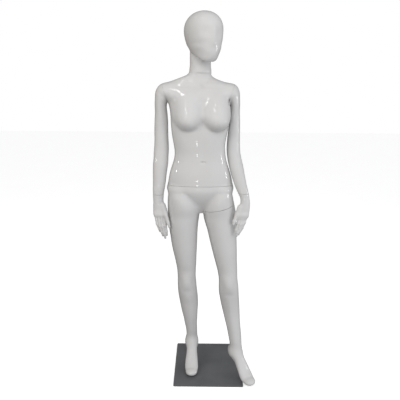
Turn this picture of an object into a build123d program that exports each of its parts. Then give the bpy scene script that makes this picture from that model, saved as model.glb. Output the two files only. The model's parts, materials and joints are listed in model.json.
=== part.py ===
from build123d import *
import os
from math import cos, radians, sin

os.makedirs("parts", exist_ok=True)

# Full body female display mannequin on a square steel base, millimetres, +Z up.
# The origin is the centre of the base plate's underside, the figure faces -Y, and +X is its left side.

# Base plate, rod and flange
PLATE_SIDE = 350
PLATE_THICKNESS = 8
PLATE_CORNER = 6
PLATE_CHAMFER = 1
PAD_SPACING = 310
PAD_RADIUS = 10
PAD_DEPTH = 2
ROD_FOOT = Vector(-92, 108, PLATE_THICKNESS)
ROD_HEAD = Vector(-98, 60, 330)
ROD_RADIUS = 7
FLANGE_RADIUS = 27
FLANGE_THICKNESS = 5
HUB_RADIUS = 12
HUB_HEIGHT = 22
FLANGE_SCREW_RING = 20
FLANGE_SCREW_ANGLE = 30
FLANGE_SCREW_RADIUS = 2.5
FLANGE_SCREW_HEAD = 4.5
FLANGE_SCREW_HEAD_HEIGHT = 2.5
FLANGE_SCREW_LENGTH = 9

# Distances along the inclined rod, from the plate's top
BORE_START = 2
ROD_START = 2.1
HUB_START = 2.5
ROD_CHAMFER = 1
CALF_SOCKET_START = 120
CALF_BORE_PAST_ROD = 0.5
CALF_SOCKET_PAST_ROD = 5
CALF_POCKET_PAST_ROD = 6
CALF_SOCKET_RADIUS = 10.8
CALF_POCKET_RADIUS = 11

# Set screw in the back of the calf
SET_SCREW_HEIGHT = 300
SET_SCREW_RADIUS = 4
SET_SCREW_TIP = 72.4
SET_SCREW_LENGTH = 12
SET_SCREW_HEX = 2.2
SET_SCREW_HEX_DEPTH = 5
SET_SCREW_HOLE_START = 66
SET_SCREW_HOLE_LENGTH = 60

# Shells, boards and clearances
WALL = 4
BOARD = 6
WAIST_BOARD = 8
HEAD_WALL = 5
HEAD_BOARD = 5
GLUE_GAP = 0.3
SEAM_GAP = 1
HALF_SEAM = SEAM_GAP / 2
RUNNING = 0.08
LARGE = 400

# Seams between the separable limbs; each plane's normal points towards the part that comes off
WAIST_HEIGHT = 998
WAIST_TILT = 4
ARM_SEAM_TILT = 18
LEG_SEAM_TILT = 13
HEAD_SEAM_TILT = 20
HEAD_TURN = 27
HEAD_CENTRE = (-38, -12)
NECK_CENTRE = (-50, 10)
NECK_RADIUS = 47
NECK_START = 1515
NECK_BORE_START = 1500
NECK_TOP = 1612
PELVIS_FLOOR = 866

waist_seam = Plane(
    (-47, 0, WAIST_HEIGHT),
    x_dir=(1, 0, 0),
    z_dir=(0, sin(radians(WAIST_TILT)), cos(radians(WAIST_TILT))),
)
leg_seam = Plane(
    (48, 8, 891.5),
    x_dir=(0, 1, 0),
    z_dir=(sin(radians(LEG_SEAM_TILT)), 0, -cos(radians(LEG_SEAM_TILT))),
)
right_shoulder_seam = Plane(
    (-205, 12, 1405),
    x_dir=(0, 1, 0),
    z_dir=(-cos(radians(ARM_SEAM_TILT)), 0, -sin(radians(ARM_SEAM_TILT))),
)
left_shoulder_seam = Plane(
    (87, 12, 1408),
    x_dir=(0, 1, 0),
    z_dir=(cos(radians(ARM_SEAM_TILT)), 0, -sin(radians(ARM_SEAM_TILT))),
)
right_wrist_seam = Plane((-245.5, -28.5, 953), z_dir=(0, 0, -1))
left_wrist_seam = Plane((158, -51.5, 966), z_dir=(0, 0, -1))
head_base = Plane(
    (*HEAD_CENTRE, 0),
    x_dir=(cos(radians(HEAD_TURN)), sin(radians(HEAD_TURN)), 0),
    z_dir=(0, 0, 1),
)
head_seam_normal = head_base.y_dir * -sin(radians(HEAD_SEAM_TILT)) + Vector(0, 0, cos(radians(HEAD_SEAM_TILT)))
head_seam = Plane(
    head_base.from_local_coords(Vector(0, -90, 1548)),
    x_dir=head_base.x_dir,
    z_dir=head_seam_normal,
)
rod_plane = Plane(ROD_FOOT, x_dir=(1, 0, 0), z_dir=ROD_HEAD - ROD_FOOT)

# Body stations: height, left edge, right edge, front edge, back edge
TORSO_STATIONS = [
    (970, -204, 112, -94, 103),
    (991, -202, 108, -93, 95),
    (1026, -197, 102, -92, 84),
    (1055, -191, 94, -90, 77),
    (1082, -183, 85, -86, 72),
    (1111, -173, 75, -83, 70),
    (1148, -167, 69, -82, 72),
    (1190, -172, 67, -88, 78),
    (1230, -179, 72, -99, 85),
    (1265, -183, 77, -112, 90),
    (1300, -185, 80, -120, 94),
    (1335, -187, 79, -111, 98),
    (1358, -192, 80, -101, 99),
    (1376, -204, 92, -94, 100),
    (1400, -238, 118, -80, 97),
    (1425, -242, 120, -66, 91),
    (1446, -225, 105, -52, 84),
    (1462, -195, 70, -42, 77),
    (1481, -158, 25, -36, 70),
    (1499, -122, 8, -37, 62),
    (1520, -104, 0, -38, 58),
    (1540, -99, -1, -38, 58),
]
PELVIS_STATIONS = [
    (860, -204, 127, -88, 108),
    (880, -207, 125, -90, 113),
    (905, -209, 119, -92, 114),
    (930, -208, 113, -93, 111),
    (960, -205, 110, -94, 104),
    (991, -202, 108, -93, 95),
    (1010, -199, 105, -92, 88),
]
PELVIS_CAVITY_STATIONS = [(PELVIS_FLOOR, *PELVIS_STATIONS[0][1:])] + PELVIS_STATIONS[1:]
RIGHT_LEG_STATIONS = [
    (905, -197, -46, -80, 106),
    (870, -203, -47, -84, 100),
    (830, -203, -53, -82, 90),
    (792, -200, -57, -78, 82),
    (745, -193, -60, -74, 76),
    (697, -187, -61, -70, 72),
    (632, -174, -64, -62, 66),
    (566, -162, -66, -52, 60),
    (533, -159, -68, -48, 57),
    (497, -159, -65, -48, 58),
    (461, -159, -63, -44, 62),
    (424, -157, -59, -36, 71),
    (386, -153, -56, -26, 80),
    (348, -147, -55, -20, 85),
    (311, -141, -57, -14, 84),
    (273, -132, -58, -7, 80),
    (235, -126, -60, 1, 76),
    (197, -119, -59, 8, 74),
    (158, -116, -58, 12, 74),
    (110, -114, -58, 10, 78),
]
LEFT_LEG_STATIONS = [
    (935, -34, 118, -92, 112),
    (905, -34, 121, -91, 112),
    (870, -33, 126, -88, 105),
    (827, -28, 130, -85, 91),
    (783, -14, 132, -85, 82),
    (738, -3, 133, -85, 73),
    (677, 12, 136, -84, 62),
    (616, 28, 138, -82, 50),
    (555, 44, 141, -83, 36),
    (523, 49, 142, -85, 28),
    (490, 50, 147, -85, 25),
    (457, 50, 150, -80, 28),
    (424, 55, 153, -73, 35),
    (390, 61, 156, -67, 40),
    (355, 68, 159, -63, 41),
    (321, 77, 161, -61, 34),
    (286, 85, 163, -63, 23),
    (250, 95, 166, -67, 11),
    (215, 102, 170, -72, 0),
    (179, 109, 172, -78, -10),
    (145, 113, 174, -82, -14),
    (115, 115, 174, -84, -14),
]
RIGHT_ARM_STATIONS = [
    (1447, -232, -202, -6, 34),
    (1438, -245, -186, -24, 49),
    (1425, -251, -178, -34, 57),
    (1405, -255, -176, -38, 61),
    (1376, -257, -186, -38, 59),
    (1349, -258, -201, -33, 54),
    (1322, -259, -200, -29, 51),
    (1295, -260, -198, -27, 49),
    (1240, -262, -198, -26, 45),
    (1185, -263, -196, -28, 40),
    (1157, -266, -196, -30, 38),
    (1129, -267, -198, -33, 36),
    (1101, -270, -199, -38, 33),
    (1073, -271, -203, -41, 28),
    (1045, -271, -207, -44, 22),
    (1017, -271, -210, -46, 13),
    (988, -271, -214, -48, 1),
    (960, -271, -219, -48, -8),
    (935, -271, -221, -48, -10),
]
LEFT_ARM_STATIONS = [
    (1450, 84, 112, -6, 34),
    (1441, 68, 121, -24, 49),
    (1427, 60, 127, -34, 57),
    (1405, 60, 131, -38, 61),
    (1376, 68, 132, -38, 59),
    (1349, 86, 133, -30, 56),
    (1322, 85, 134, -26, 52),
    (1295, 84, 135, -24, 50),
    (1240, 80, 136, -24, 46),
    (1185, 76, 137, -26, 42),
    (1157, 76, 139, -30, 38),
    (1129, 79, 144, -36, 34),
    (1101, 84, 151, -44, 26),
    (1073, 91, 157, -52, 17),
    (1045, 99, 162, -58, 5),
    (1017, 109, 168, -64, -8),
    (988, 120, 174, -69, -21),
    (967, 131, 181, -71, -32),
    (940, 139, 184, -72, -35),
]
# Head stations use the turned head's own frame, centred on the skull
HEAD_STATIONS = [
    (1552, -26, 26, -84, -14),
    (1566, -43, 43, -92, 18),
    (1583, -56, 56, -96, 54),
    (1600, -63, 63, -99, 76),
    (1616, -66, 66, -101, 84),
    (1633, -71, 71, -103, 93),
    (1652, -75, 75, -104, 100),
    (1676, -78, 78, -104, 104),
    (1698, -76, 76, -100, 102),
    (1714, -71, 71, -93, 97),
    (1730, -64, 64, -83, 88),
    (1746, -50, 50, -64, 67),
    (1757, -28, 28, -37, 39),
    (1761, -12, 12, -16, 18),
]
# Foot stations: distance from the heel, left edge, right edge, sole, instep
FOOT_STATIONS = [
    (0, -7, 7, 92, 108),
    (6, -19, 19, 80, 126),
    (20, -28, 28, 73, 142),
    (42, -29, 29, 70, 150),
    (66, -26, 26, 61, 138),
    (97, -29, 28, 42, 106),
    (127, -34, 33, 21, 75),
    (150, -36, 35, 10, 54),
    (176, -32, 31, 8.4, 38),
    (194, -21, 22, 9, 27),
    (203, -7, 9, 11, 21),
]
FREE_FOOT_LIFT = 4
standing_foot_base = Plane((-86, 84, 0), x_dir=(1, 0, 0), z_dir=(0, -1, 0))
free_foot_base = Plane((122, -9, FREE_FOOT_LIFT), x_dir=(0.88, 0.47, 0), z_dir=(0.47, -0.88, 0))

RIGHT_PALM_STATIONS = [
    (965, -271, -219, -48, -9),
    (940, -271, -221, -48, -10),
    (918, -270, -221, -49, -13),
    (889, -271, -211, -51, -20),
    (860, -270, -209, -54, -26),
    (838, -267, -211, -56, -32),
    (822, -263, -213, -54, -37),
]
LEFT_PALM_STATIONS = [
    (980, 126, 177, -70, -28),
    (950, 137, 183, -72, -34),
    (921, 142, 187, -76, -41),
    (892, 134, 186, -80, -48),
    (862, 134, 182, -82, -53),
    (845, 135, 178, -82, -57),
    (830, 137, 174, -80, -62),
]
# Fingers: knuckle, middle joint and tip as (x, y, z, radius), thumb first
RIGHT_FINGERS = [
    [(-217, -38, 892, 11), (-206, -50, 850, 9.5), (-194, -58, 812, 7.5), (-190, -60, 797, 4)],
    [(-219, -44, 845, 7.5), (-213, -50, 800, 7), (-208, -48, 762, 6), (-207, -45, 742, 3.5)],
    [(-232, -45, 845, 7.5), (-223, -52, 795, 7), (-216, -49, 748, 6), (-214, -45, 724, 3.5)],
    [(-246, -45, 845, 7.5), (-236, -51, 798, 7), (-228, -47, 758, 6), (-225, -43, 738, 3.5)],
    [(-259, -43, 845, 7), (-249, -48, 806, 6.2), (-241, -45, 782, 5.4), (-238, -42, 768, 3.2)],
]
LEFT_FINGERS = [
    [(138, -66, 895, 11), (124, -76, 860, 9.5), (113, -82, 828, 7.5), (110, -84, 814, 4)],
    [(141, -70, 850, 7), (133, -78, 812, 6.6), (124, -80, 776, 5.8), (121, -78, 758, 3.5)],
    [(151, -71, 850, 7), (144, -80, 806, 6.6), (131, -82, 764, 5.8), (127, -80, 744, 3.5)],
    [(161, -70, 850, 7), (155, -78, 808, 6.6), (142, -79, 770, 5.8), (137, -77, 752, 3.5)],
    [(169, -68, 850, 6.5), (164, -75, 816, 6), (154, -75, 788, 5.2), (149, -73, 774, 3.2)],
]

# Twist-lock fittings: shank and flange radii, screw ring, and the stud's reach past the socket
SHOULDER_FITTING = {"shank": 8, "flange": 24, "ring": 18, "reach": 16}
THIGH_FITTING = {"shank": 10, "flange": 32, "ring": 24, "reach": 22}
FITTING_FLANGE = 3
SOCKET_WALL = 5
FITTING_SCREW_RADIUS = 2
FITTING_SCREW_HEAD = 3.8
FITTING_SCREW_HEAD_HEIGHT = 2
FITTING_SCREW_LENGTH = 7
STUD_HEAD = 4
STUD_HEAD_LIP = 4
STUD_HEAD_GAP = 0.5
SCREW_SEAT = HALF_SEAM + BOARD + FITTING_FLANGE

# Areas that the boards and the shoulder cuts cover on their seams
THIGH_BOARD_AREA = (250, 180)
SHOULDER_BOARD_AREA = (160, 78)
HEAD_BOARD_AREA = (300, 300)
SHOULDER_CUT = (180, 150)
SHOULDER_CUT_SHIFT = 26
SHOULDER_CUT_DEPTH = 120

# Waist tube, wrists, neck and head fittings
WAIST_TUBE = 40
WAIST_TUBE_WALL = 3
WAIST_SOCKET_DEPTH = 90
WAIST_SPIGOT_LENGTH = 80
WAIST_FLANGE = 84
WAIST_SCREW_SPACING = 64
WAIST_SCREW_LENGTH = 9
WAIST_TUBE_PLAY = 1
WAIST_FACE = HALF_SEAM + WAIST_BOARD
SPIGOT_CHAMFER = 2
WRIST_SHANK = 6
WRIST_BUSH = 9
WRIST_PLUG_DEPTH = 18
WRIST_STUD_DEPTH = 32
NECK_PIN = 8
NECK_PIN_CHAMFER = 1.5
NECK_PIN_FLANGE = 18
NECK_PIN_FLANGE_THICKNESS = 4
NECK_BOARD = 8
WASHER = 2
WASHER_RADIUS = 26
CUP_START = 1530
CUP_WALL = 3
CUP_CLEARANCE = 1
CUP_BOSS_RADIUS = 15
CUP_BOSS_HEIGHT = 28


def body_form(stations, inset=0, base=Plane.XY):
    """Solid through elliptical stations across the base plane's normal; an inset one is a cavity.

    The outside is smooth, and a cavity runs straight from station to station.
    """
    with BuildPart() as form:
        for height, left, right, front, back in stations:
            centre = ((left + right) / 2, (front + back) / 2)
            half_width = (right - left) / 2 - inset
            half_depth = (back - front) / 2 - inset
            with BuildSketch(base.offset(height)):
                with BuildLine():
                    EllipticalCenterArc(centre, half_width, half_depth, start_angle=0, arc_size=180)
                    EllipticalCenterArc(centre, half_width, half_depth, start_angle=180, arc_size=180)
                make_face()
        loft(ruled=inset > 0)
    return form.part


def digit(points):
    """A tapering finger or thumb with a rounded tip."""
    stations = [(z, x - r, x + r, y - r, y + r) for x, y, z, r in points]
    return body_form(stations)


def slab(plane, start, end, width=LARGE, height=LARGE):
    """A rectangular slice lying across the plane's normal."""
    with BuildPart() as slice_part:
        with BuildSketch(plane.offset(start)):
            Rectangle(width, height)
        extrude(amount=end - start)
    return slice_part.part


def rod_between(plane, start, end, radius):
    """A round bar along the plane's normal."""
    with BuildPart() as bar:
        with BuildSketch(plane.offset(start)):
            Circle(radius)
        extrude(amount=end - start)
    return bar.part


def closing_board(inner_form, plane, start, end, hole_radius, width=LARGE, height=LARGE):
    """The board that closes a shell's mouth, with a round hole for its fitting."""
    with BuildPart() as board:
        add(slab(plane, start, end, width, height))
        add(inner_form, mode=Mode.INTERSECT)
        add(rod_between(plane, start, end, hole_radius), mode=Mode.SUBTRACT)
    return board


def fitting_screws(plane, fitting):
    """Three screws whose heads sit on a fitting's flange and whose shanks run back from it."""
    with BuildPart() as screws:
        with BuildSketch(plane.offset(SCREW_SEAT)):
            with PolarLocations(fitting["ring"], 3):
                Circle(FITTING_SCREW_HEAD)
        extrude(amount=FITTING_SCREW_HEAD_HEIGHT)
        with BuildSketch(plane.offset(SCREW_SEAT)):
            with PolarLocations(fitting["ring"], 3):
                Circle(FITTING_SCREW_RADIUS)
        extrude(amount=-FITTING_SCREW_LENGTH)
    return screws


def drill_screw_holes(plane, start, fitting, depth):
    """The clearance holes for a fitting's three screws."""
    with BuildPart() as holes:
        with BuildSketch(plane.offset(start)):
            with PolarLocations(fitting["ring"], 3):
                Circle(FITTING_SCREW_RADIUS + RUNNING)
        extrude(amount=-depth)
    return holes.part


def flipped(plane):
    """The same plane, looking back into the part that stays."""
    return Plane(plane.origin, x_dir=plane.x_dir, z_dir=-plane.z_dir)


def socket_fitting(seam, fitting):
    """Steel socket bush whose flange is screwed to the inside of the fixed board."""
    inward = flipped(seam)
    inner_face = HALF_SEAM + BOARD
    bore = fitting["shank"] + RUNNING
    with BuildPart() as socket:
        add(rod_between(inward, HALF_SEAM, inner_face, fitting["shank"] + SOCKET_WALL))
        add(rod_between(inward, inner_face, SCREW_SEAT, fitting["flange"]))
        add(rod_between(inward, HALF_SEAM, SCREW_SEAT, bore), mode=Mode.SUBTRACT)
        holes = drill_screw_holes(inward, SCREW_SEAT, fitting, FITTING_FLANGE)
        add(holes, mode=Mode.SUBTRACT)
    return socket


def stud_fitting(seam, fitting):
    """Steel stud with a flange inside the limb's board and a retaining head beyond the socket."""
    shank = fitting["shank"]
    head_start = SCREW_SEAT + STUD_HEAD_GAP
    with BuildPart() as stud:
        add(rod_between(seam, -head_start - fitting["reach"], SCREW_SEAT, shank))
        add(rod_between(seam, -head_start - STUD_HEAD, -head_start, shank + STUD_HEAD_LIP))
        add(rod_between(seam, SCREW_SEAT - FITTING_FLANGE, SCREW_SEAT, fitting["flange"]))
        holes = drill_screw_holes(seam, SCREW_SEAT, fitting, FITTING_FLANGE)
        add(holes, mode=Mode.SUBTRACT)
    return stud


def fixed_board(inner_form, seam, fitting, width, height):
    """The board on the side of a seam that stays, drilled for its socket."""
    inward = flipped(seam)
    hole = fitting["shank"] + SOCKET_WALL + RUNNING
    board = closing_board(inner_form, inward, HALF_SEAM, HALF_SEAM + BOARD, hole, width, height)
    with board:
        holes = drill_screw_holes(inward, HALF_SEAM + BOARD, fitting, FITTING_SCREW_LENGTH - FITTING_FLANGE)
        add(holes, mode=Mode.SUBTRACT)
    return board


def limb_board(inner_form, seam, fitting):
    """The board on the side of a seam that comes off, drilled for its stud."""
    board = closing_board(inner_form, seam, HALF_SEAM, HALF_SEAM + BOARD, fitting["shank"] + RUNNING)
    with board:
        holes = drill_screw_holes(seam, HALF_SEAM + BOARD, fitting, FITTING_SCREW_LENGTH - FITTING_FLANGE)
        add(holes, mode=Mode.SUBTRACT)
    return board


def save(piece, name):
    """Label a finished piece and write its STEP file."""
    piece.part.label = name
    export_step(piece.part, f"parts/{name}.step")


# Base plate with recesses for its pads and tapped holes for the flange
with BuildPart() as base_plate:
    with BuildSketch():
        RectangleRounded(PLATE_SIDE, PLATE_SIDE, PLATE_CORNER)
    extrude(amount=PLATE_THICKNESS)
    chamfer(base_plate.faces().sort_by(Axis.Z)[-1].edges(), PLATE_CHAMFER)
    with BuildSketch():
        with GridLocations(PAD_SPACING, PAD_SPACING, 2, 2):
            Circle(PAD_RADIUS)
    extrude(amount=PAD_DEPTH, mode=Mode.SUBTRACT)
    with BuildSketch(Plane((ROD_FOOT.X, ROD_FOOT.Y, PLATE_THICKNESS))):
        with PolarLocations(FLANGE_SCREW_RING, 3, start_angle=FLANGE_SCREW_ANGLE):
            Circle(FLANGE_SCREW_RADIUS + RUNNING)
    extrude(amount=-(FLANGE_SCREW_LENGTH - FLANGE_THICKNESS), mode=Mode.SUBTRACT)
save(base_plate, "base_plate")

with BuildPart() as base_pads:
    with BuildSketch():
        with GridLocations(PAD_SPACING, PAD_SPACING, 2, 2):
            Circle(PAD_RADIUS - GLUE_GAP / 2)
    extrude(amount=PAD_DEPTH)
save(base_pads, "base_pads")

# Rod flange: a round foot with an inclined hub that clamps the rod
with BuildPart() as rod_flange:
    with BuildSketch(Plane((ROD_FOOT.X, ROD_FOOT.Y, PLATE_THICKNESS))):
        Circle(FLANGE_RADIUS)
    extrude(amount=FLANGE_THICKNESS)
    add(rod_between(rod_plane, HUB_START, HUB_HEIGHT, HUB_RADIUS))
    add(rod_between(rod_plane, BORE_START, HUB_HEIGHT, ROD_RADIUS + RUNNING), mode=Mode.SUBTRACT)
    with BuildSketch(Plane((ROD_FOOT.X, ROD_FOOT.Y, PLATE_THICKNESS))):
        with PolarLocations(FLANGE_SCREW_RING, 3, start_angle=FLANGE_SCREW_ANGLE):
            Circle(FLANGE_SCREW_RADIUS + RUNNING)
    extrude(amount=FLANGE_THICKNESS, mode=Mode.SUBTRACT)
save(rod_flange, "rod_flange")

with BuildPart() as flange_screws:
    with BuildSketch(Plane((ROD_FOOT.X, ROD_FOOT.Y, PLATE_THICKNESS + FLANGE_THICKNESS))):
        with PolarLocations(FLANGE_SCREW_RING, 3, start_angle=FLANGE_SCREW_ANGLE):
            Circle(FLANGE_SCREW_HEAD)
    extrude(amount=FLANGE_SCREW_HEAD_HEIGHT)
    with BuildSketch(Plane((ROD_FOOT.X, ROD_FOOT.Y, PLATE_THICKNESS + FLANGE_THICKNESS))):
        with PolarLocations(FLANGE_SCREW_RING, 3, start_angle=FLANGE_SCREW_ANGLE):
            Circle(FLANGE_SCREW_RADIUS)
    extrude(amount=-FLANGE_SCREW_LENGTH)
save(flange_screws, "flange_screws")

ROD_LENGTH = (ROD_HEAD - ROD_FOOT).length
with BuildPart() as calf_rod:
    add(rod_between(rod_plane, ROD_START, ROD_LENGTH, ROD_RADIUS))
    chamfer(calf_rod.edges().sort_by(Axis.Z)[-1], ROD_CHAMFER)
save(calf_rod, "calf_rod")


def set_screw_hole():
    """The hole for the set screw, from beside the rod out through the back of the calf."""
    with BuildPart() as hole:
        with BuildSketch(Plane((ROD_HEAD.X, SET_SCREW_HOLE_START, SET_SCREW_HEIGHT), z_dir=(0, 1, 0))):
            Circle(SET_SCREW_RADIUS + RUNNING)
        extrude(amount=SET_SCREW_HOLE_LENGTH)
    return hole.part


# Hips with the standing leg: the pelvis, the right leg and the right foot are one moulded shell
right_leg_form = body_form(RIGHT_LEG_STATIONS)
with BuildPart() as pelvis_outer:
    add(body_form(PELVIS_STATIONS))
    split(bisect_by=leg_seam.offset(-HALF_SEAM), keep=Keep.BOTTOM)
with BuildPart() as hip_leg_shell:
    add(pelvis_outer.part)
    add(right_leg_form)
    add(body_form(FOOT_STATIONS, base=standing_foot_base))
    split(bisect_by=waist_seam.offset(-HALF_SEAM), keep=Keep.BOTTOM)
    add(body_form(PELVIS_CAVITY_STATIONS, inset=WALL), mode=Mode.SUBTRACT)
    add(body_form(RIGHT_LEG_STATIONS[:-1], inset=WALL), mode=Mode.SUBTRACT)
    pocket_end = ROD_LENGTH + CALF_POCKET_PAST_ROD
    add(rod_between(rod_plane, CALF_SOCKET_START, pocket_end, CALF_POCKET_RADIUS), mode=Mode.SUBTRACT)
    add(set_screw_hole(), mode=Mode.SUBTRACT)
save(hip_leg_shell, "hip_leg_shell")

with BuildPart() as calf_socket:
    add(rod_between(rod_plane, CALF_SOCKET_START, ROD_LENGTH + CALF_SOCKET_PAST_ROD, CALF_SOCKET_RADIUS))
    add(right_leg_form, mode=Mode.INTERSECT)
    bore_end = ROD_LENGTH + CALF_BORE_PAST_ROD
    add(rod_between(rod_plane, CALF_SOCKET_START, bore_end, ROD_RADIUS + RUNNING), mode=Mode.SUBTRACT)
    add(set_screw_hole(), mode=Mode.SUBTRACT)
save(calf_socket, "calf_socket")

with BuildPart() as calf_set_screw:
    with BuildSketch(Plane((ROD_HEAD.X, SET_SCREW_TIP, SET_SCREW_HEIGHT), z_dir=(0, 1, 0))):
        Circle(SET_SCREW_RADIUS)
    extrude(amount=SET_SCREW_LENGTH)
    outer_end = SET_SCREW_TIP + SET_SCREW_LENGTH
    with BuildSketch(Plane((ROD_HEAD.X, outer_end, SET_SCREW_HEIGHT), z_dir=(0, 1, 0))):
        RegularPolygon(SET_SCREW_HEX, 6)
    extrude(amount=-SET_SCREW_HEX_DEPTH, mode=Mode.SUBTRACT)
save(calf_set_screw, "calf_set_screw")

pelvis_cavity = body_form(PELVIS_CAVITY_STATIONS, inset=WALL + GLUE_GAP)
torso_cavity = body_form(TORSO_STATIONS, inset=WALL + GLUE_GAP)


def waist_board(cavity, start, end):
    """Board across the waist with a square hole for the waist tube and four screw holes."""
    with BuildPart() as board:
        add(slab(waist_seam, start, end))
        add(cavity, mode=Mode.INTERSECT)
        opening = WAIST_TUBE + 2 * WAIST_TUBE_WALL + WAIST_TUBE_PLAY
        with BuildSketch(waist_seam.offset(start)):
            Rectangle(opening, opening)
            with GridLocations(WAIST_SCREW_SPACING, WAIST_SCREW_SPACING, 2, 2):
                Circle(FITTING_SCREW_RADIUS + RUNNING)
        extrude(amount=end - start, mode=Mode.SUBTRACT)
    return board


def waist_screws(start, length):
    """Four screws on a flange at the waist; a negative length runs down from start."""
    up = 1 if length < 0 else -1
    with BuildPart() as screws:
        with BuildSketch(waist_seam.offset(start)):
            with GridLocations(WAIST_SCREW_SPACING, WAIST_SCREW_SPACING, 2, 2):
                Circle(FITTING_SCREW_HEAD)
        extrude(amount=FITTING_SCREW_HEAD_HEIGHT * up)
        with BuildSketch(waist_seam.offset(start)):
            with GridLocations(WAIST_SCREW_SPACING, WAIST_SCREW_SPACING, 2, 2):
                Circle(FITTING_SCREW_RADIUS)
        extrude(amount=length)
    return screws


# Waist of the hips: board, square socket tube and screws
save(waist_board(pelvis_cavity, -WAIST_FACE, -HALF_SEAM), "pelvis_waist_board")

with BuildPart() as waist_socket:
    with BuildSketch(waist_seam.offset(-HALF_SEAM)):
        Rectangle(WAIST_TUBE + 2 * WAIST_TUBE_WALL, WAIST_TUBE + 2 * WAIST_TUBE_WALL)
    extrude(amount=-WAIST_SOCKET_DEPTH)
    with BuildSketch(waist_seam.offset(-WAIST_FACE)):
        Rectangle(WAIST_FLANGE, WAIST_FLANGE)
    extrude(amount=-FITTING_FLANGE)
    with BuildSketch(waist_seam.offset(-HALF_SEAM)):
        Rectangle(WAIST_TUBE + 2 * RUNNING, WAIST_TUBE + 2 * RUNNING)
    extrude(amount=-WAIST_SOCKET_DEPTH, mode=Mode.SUBTRACT)
    with BuildSketch(waist_seam.offset(-WAIST_FACE)):
        with GridLocations(WAIST_SCREW_SPACING, WAIST_SCREW_SPACING, 2, 2):
            Circle(FITTING_SCREW_RADIUS + RUNNING)
    extrude(amount=-FITTING_FLANGE, mode=Mode.SUBTRACT)
save(waist_socket, "waist_socket")
save(waist_screws(-WAIST_FACE - FITTING_FLANGE, WAIST_SCREW_LENGTH), "waist_socket_screws")

# Thigh joint: board and socket in the hips, board and stud in the free leg
save(fixed_board(pelvis_cavity, leg_seam, THIGH_FITTING, *THIGH_BOARD_AREA), "pelvis_thigh_board")
save(socket_fitting(leg_seam, THIGH_FITTING), "thigh_socket")
save(fitting_screws(flipped(leg_seam), THIGH_FITTING), "thigh_socket_screws")

with BuildPart() as left_leg_shell:
    add(body_form(LEFT_LEG_STATIONS))
    split(bisect_by=leg_seam.offset(HALF_SEAM), keep=Keep.TOP)
    add(body_form(FOOT_STATIONS, base=free_foot_base))
    add(body_form(LEFT_LEG_STATIONS[:-1], inset=WALL), mode=Mode.SUBTRACT)
save(left_leg_shell, "left_leg_shell")

left_leg_cavity = body_form(LEFT_LEG_STATIONS, inset=WALL + GLUE_GAP)
save(limb_board(left_leg_cavity, leg_seam, THIGH_FITTING), "left_leg_board")
save(stud_fitting(leg_seam, THIGH_FITTING), "left_leg_stud")
save(fitting_screws(leg_seam, THIGH_FITTING), "left_leg_stud_screws")


def shoulder_cut(seam):
    """Everything outboard of a shoulder seam, from the armpit up."""
    lifted = Plane(seam.origin + Vector(0, 0, SHOULDER_CUT_SHIFT), x_dir=seam.x_dir, z_dir=seam.z_dir)
    shift = lifted.to_local_coords(seam.origin).Z
    return slab(lifted, shift - HALF_SEAM, SHOULDER_CUT_DEPTH, *SHOULDER_CUT)


# Torso: hollow shell with the neck, open at the waist, the shoulders and the neck top
neck_plane = Plane((*NECK_CENTRE, 0))
with BuildPart() as torso_shell:
    add(body_form(TORSO_STATIONS))
    add(rod_between(neck_plane, NECK_START, NECK_TOP, NECK_RADIUS))
    split(bisect_by=waist_seam.offset(HALF_SEAM), keep=Keep.TOP)
    add(body_form(TORSO_STATIONS, inset=WALL), mode=Mode.SUBTRACT)
    add(rod_between(neck_plane, NECK_BORE_START, NECK_TOP, NECK_RADIUS - WALL), mode=Mode.SUBTRACT)
    add(shoulder_cut(right_shoulder_seam), mode=Mode.SUBTRACT)
    add(shoulder_cut(left_shoulder_seam), mode=Mode.SUBTRACT)
save(torso_shell, "torso_shell")
save(waist_board(torso_cavity, HALF_SEAM, WAIST_FACE), "torso_waist_board")

with BuildPart() as waist_spigot:
    with BuildSketch(waist_seam.offset(WAIST_FACE)):
        Rectangle(WAIST_FLANGE, WAIST_FLANGE)
    extrude(amount=FITTING_FLANGE)
    with BuildSketch(waist_seam.offset(WAIST_FACE)):
        Rectangle(WAIST_TUBE, WAIST_TUBE)
    extrude(amount=-WAIST_FACE - WAIST_SPIGOT_LENGTH)
    chamfer(waist_spigot.faces().sort_by(Axis.Z)[0].edges(), SPIGOT_CHAMFER)
    with BuildSketch(waist_seam.offset(WAIST_FACE + FITTING_FLANGE)):
        Rectangle(WAIST_TUBE - 2 * WAIST_TUBE_WALL, WAIST_TUBE - 2 * WAIST_TUBE_WALL)
    extrude(amount=-WAIST_FACE - FITTING_FLANGE - WAIST_SPIGOT_LENGTH, mode=Mode.SUBTRACT)
    with BuildSketch(waist_seam.offset(WAIST_FACE)):
        with GridLocations(WAIST_SCREW_SPACING, WAIST_SCREW_SPACING, 2, 2):
            Circle(FITTING_SCREW_RADIUS + RUNNING)
    extrude(amount=FITTING_FLANGE, mode=Mode.SUBTRACT)
save(waist_spigot, "waist_spigot")
save(waist_screws(WAIST_FACE + FITTING_FLANGE, -WAIST_SCREW_LENGTH), "waist_spigot_screws")

# Neck top: board, fixed pin and the washer that carries the head
with BuildPart() as neck_board:
    add(rod_between(neck_plane, NECK_TOP - NECK_BOARD, NECK_TOP, NECK_RADIUS - WALL - GLUE_GAP))
    add(rod_between(neck_plane, NECK_TOP - NECK_BOARD, NECK_TOP, NECK_PIN + RUNNING), mode=Mode.SUBTRACT)
save(neck_board, "neck_board")

CUP_CEILING = NECK_TOP + WASHER
with BuildPart() as neck_pin:
    flange_top = NECK_TOP - NECK_BOARD
    add(rod_between(neck_plane, flange_top - NECK_PIN_FLANGE_THICKNESS, flange_top, NECK_PIN_FLANGE))
    add(rod_between(neck_plane, flange_top, CUP_CEILING + CUP_BOSS_HEIGHT, NECK_PIN))
    chamfer(neck_pin.edges().sort_by(Axis.Z)[-1], NECK_PIN_CHAMFER)
save(neck_pin, "neck_pin")

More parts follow.
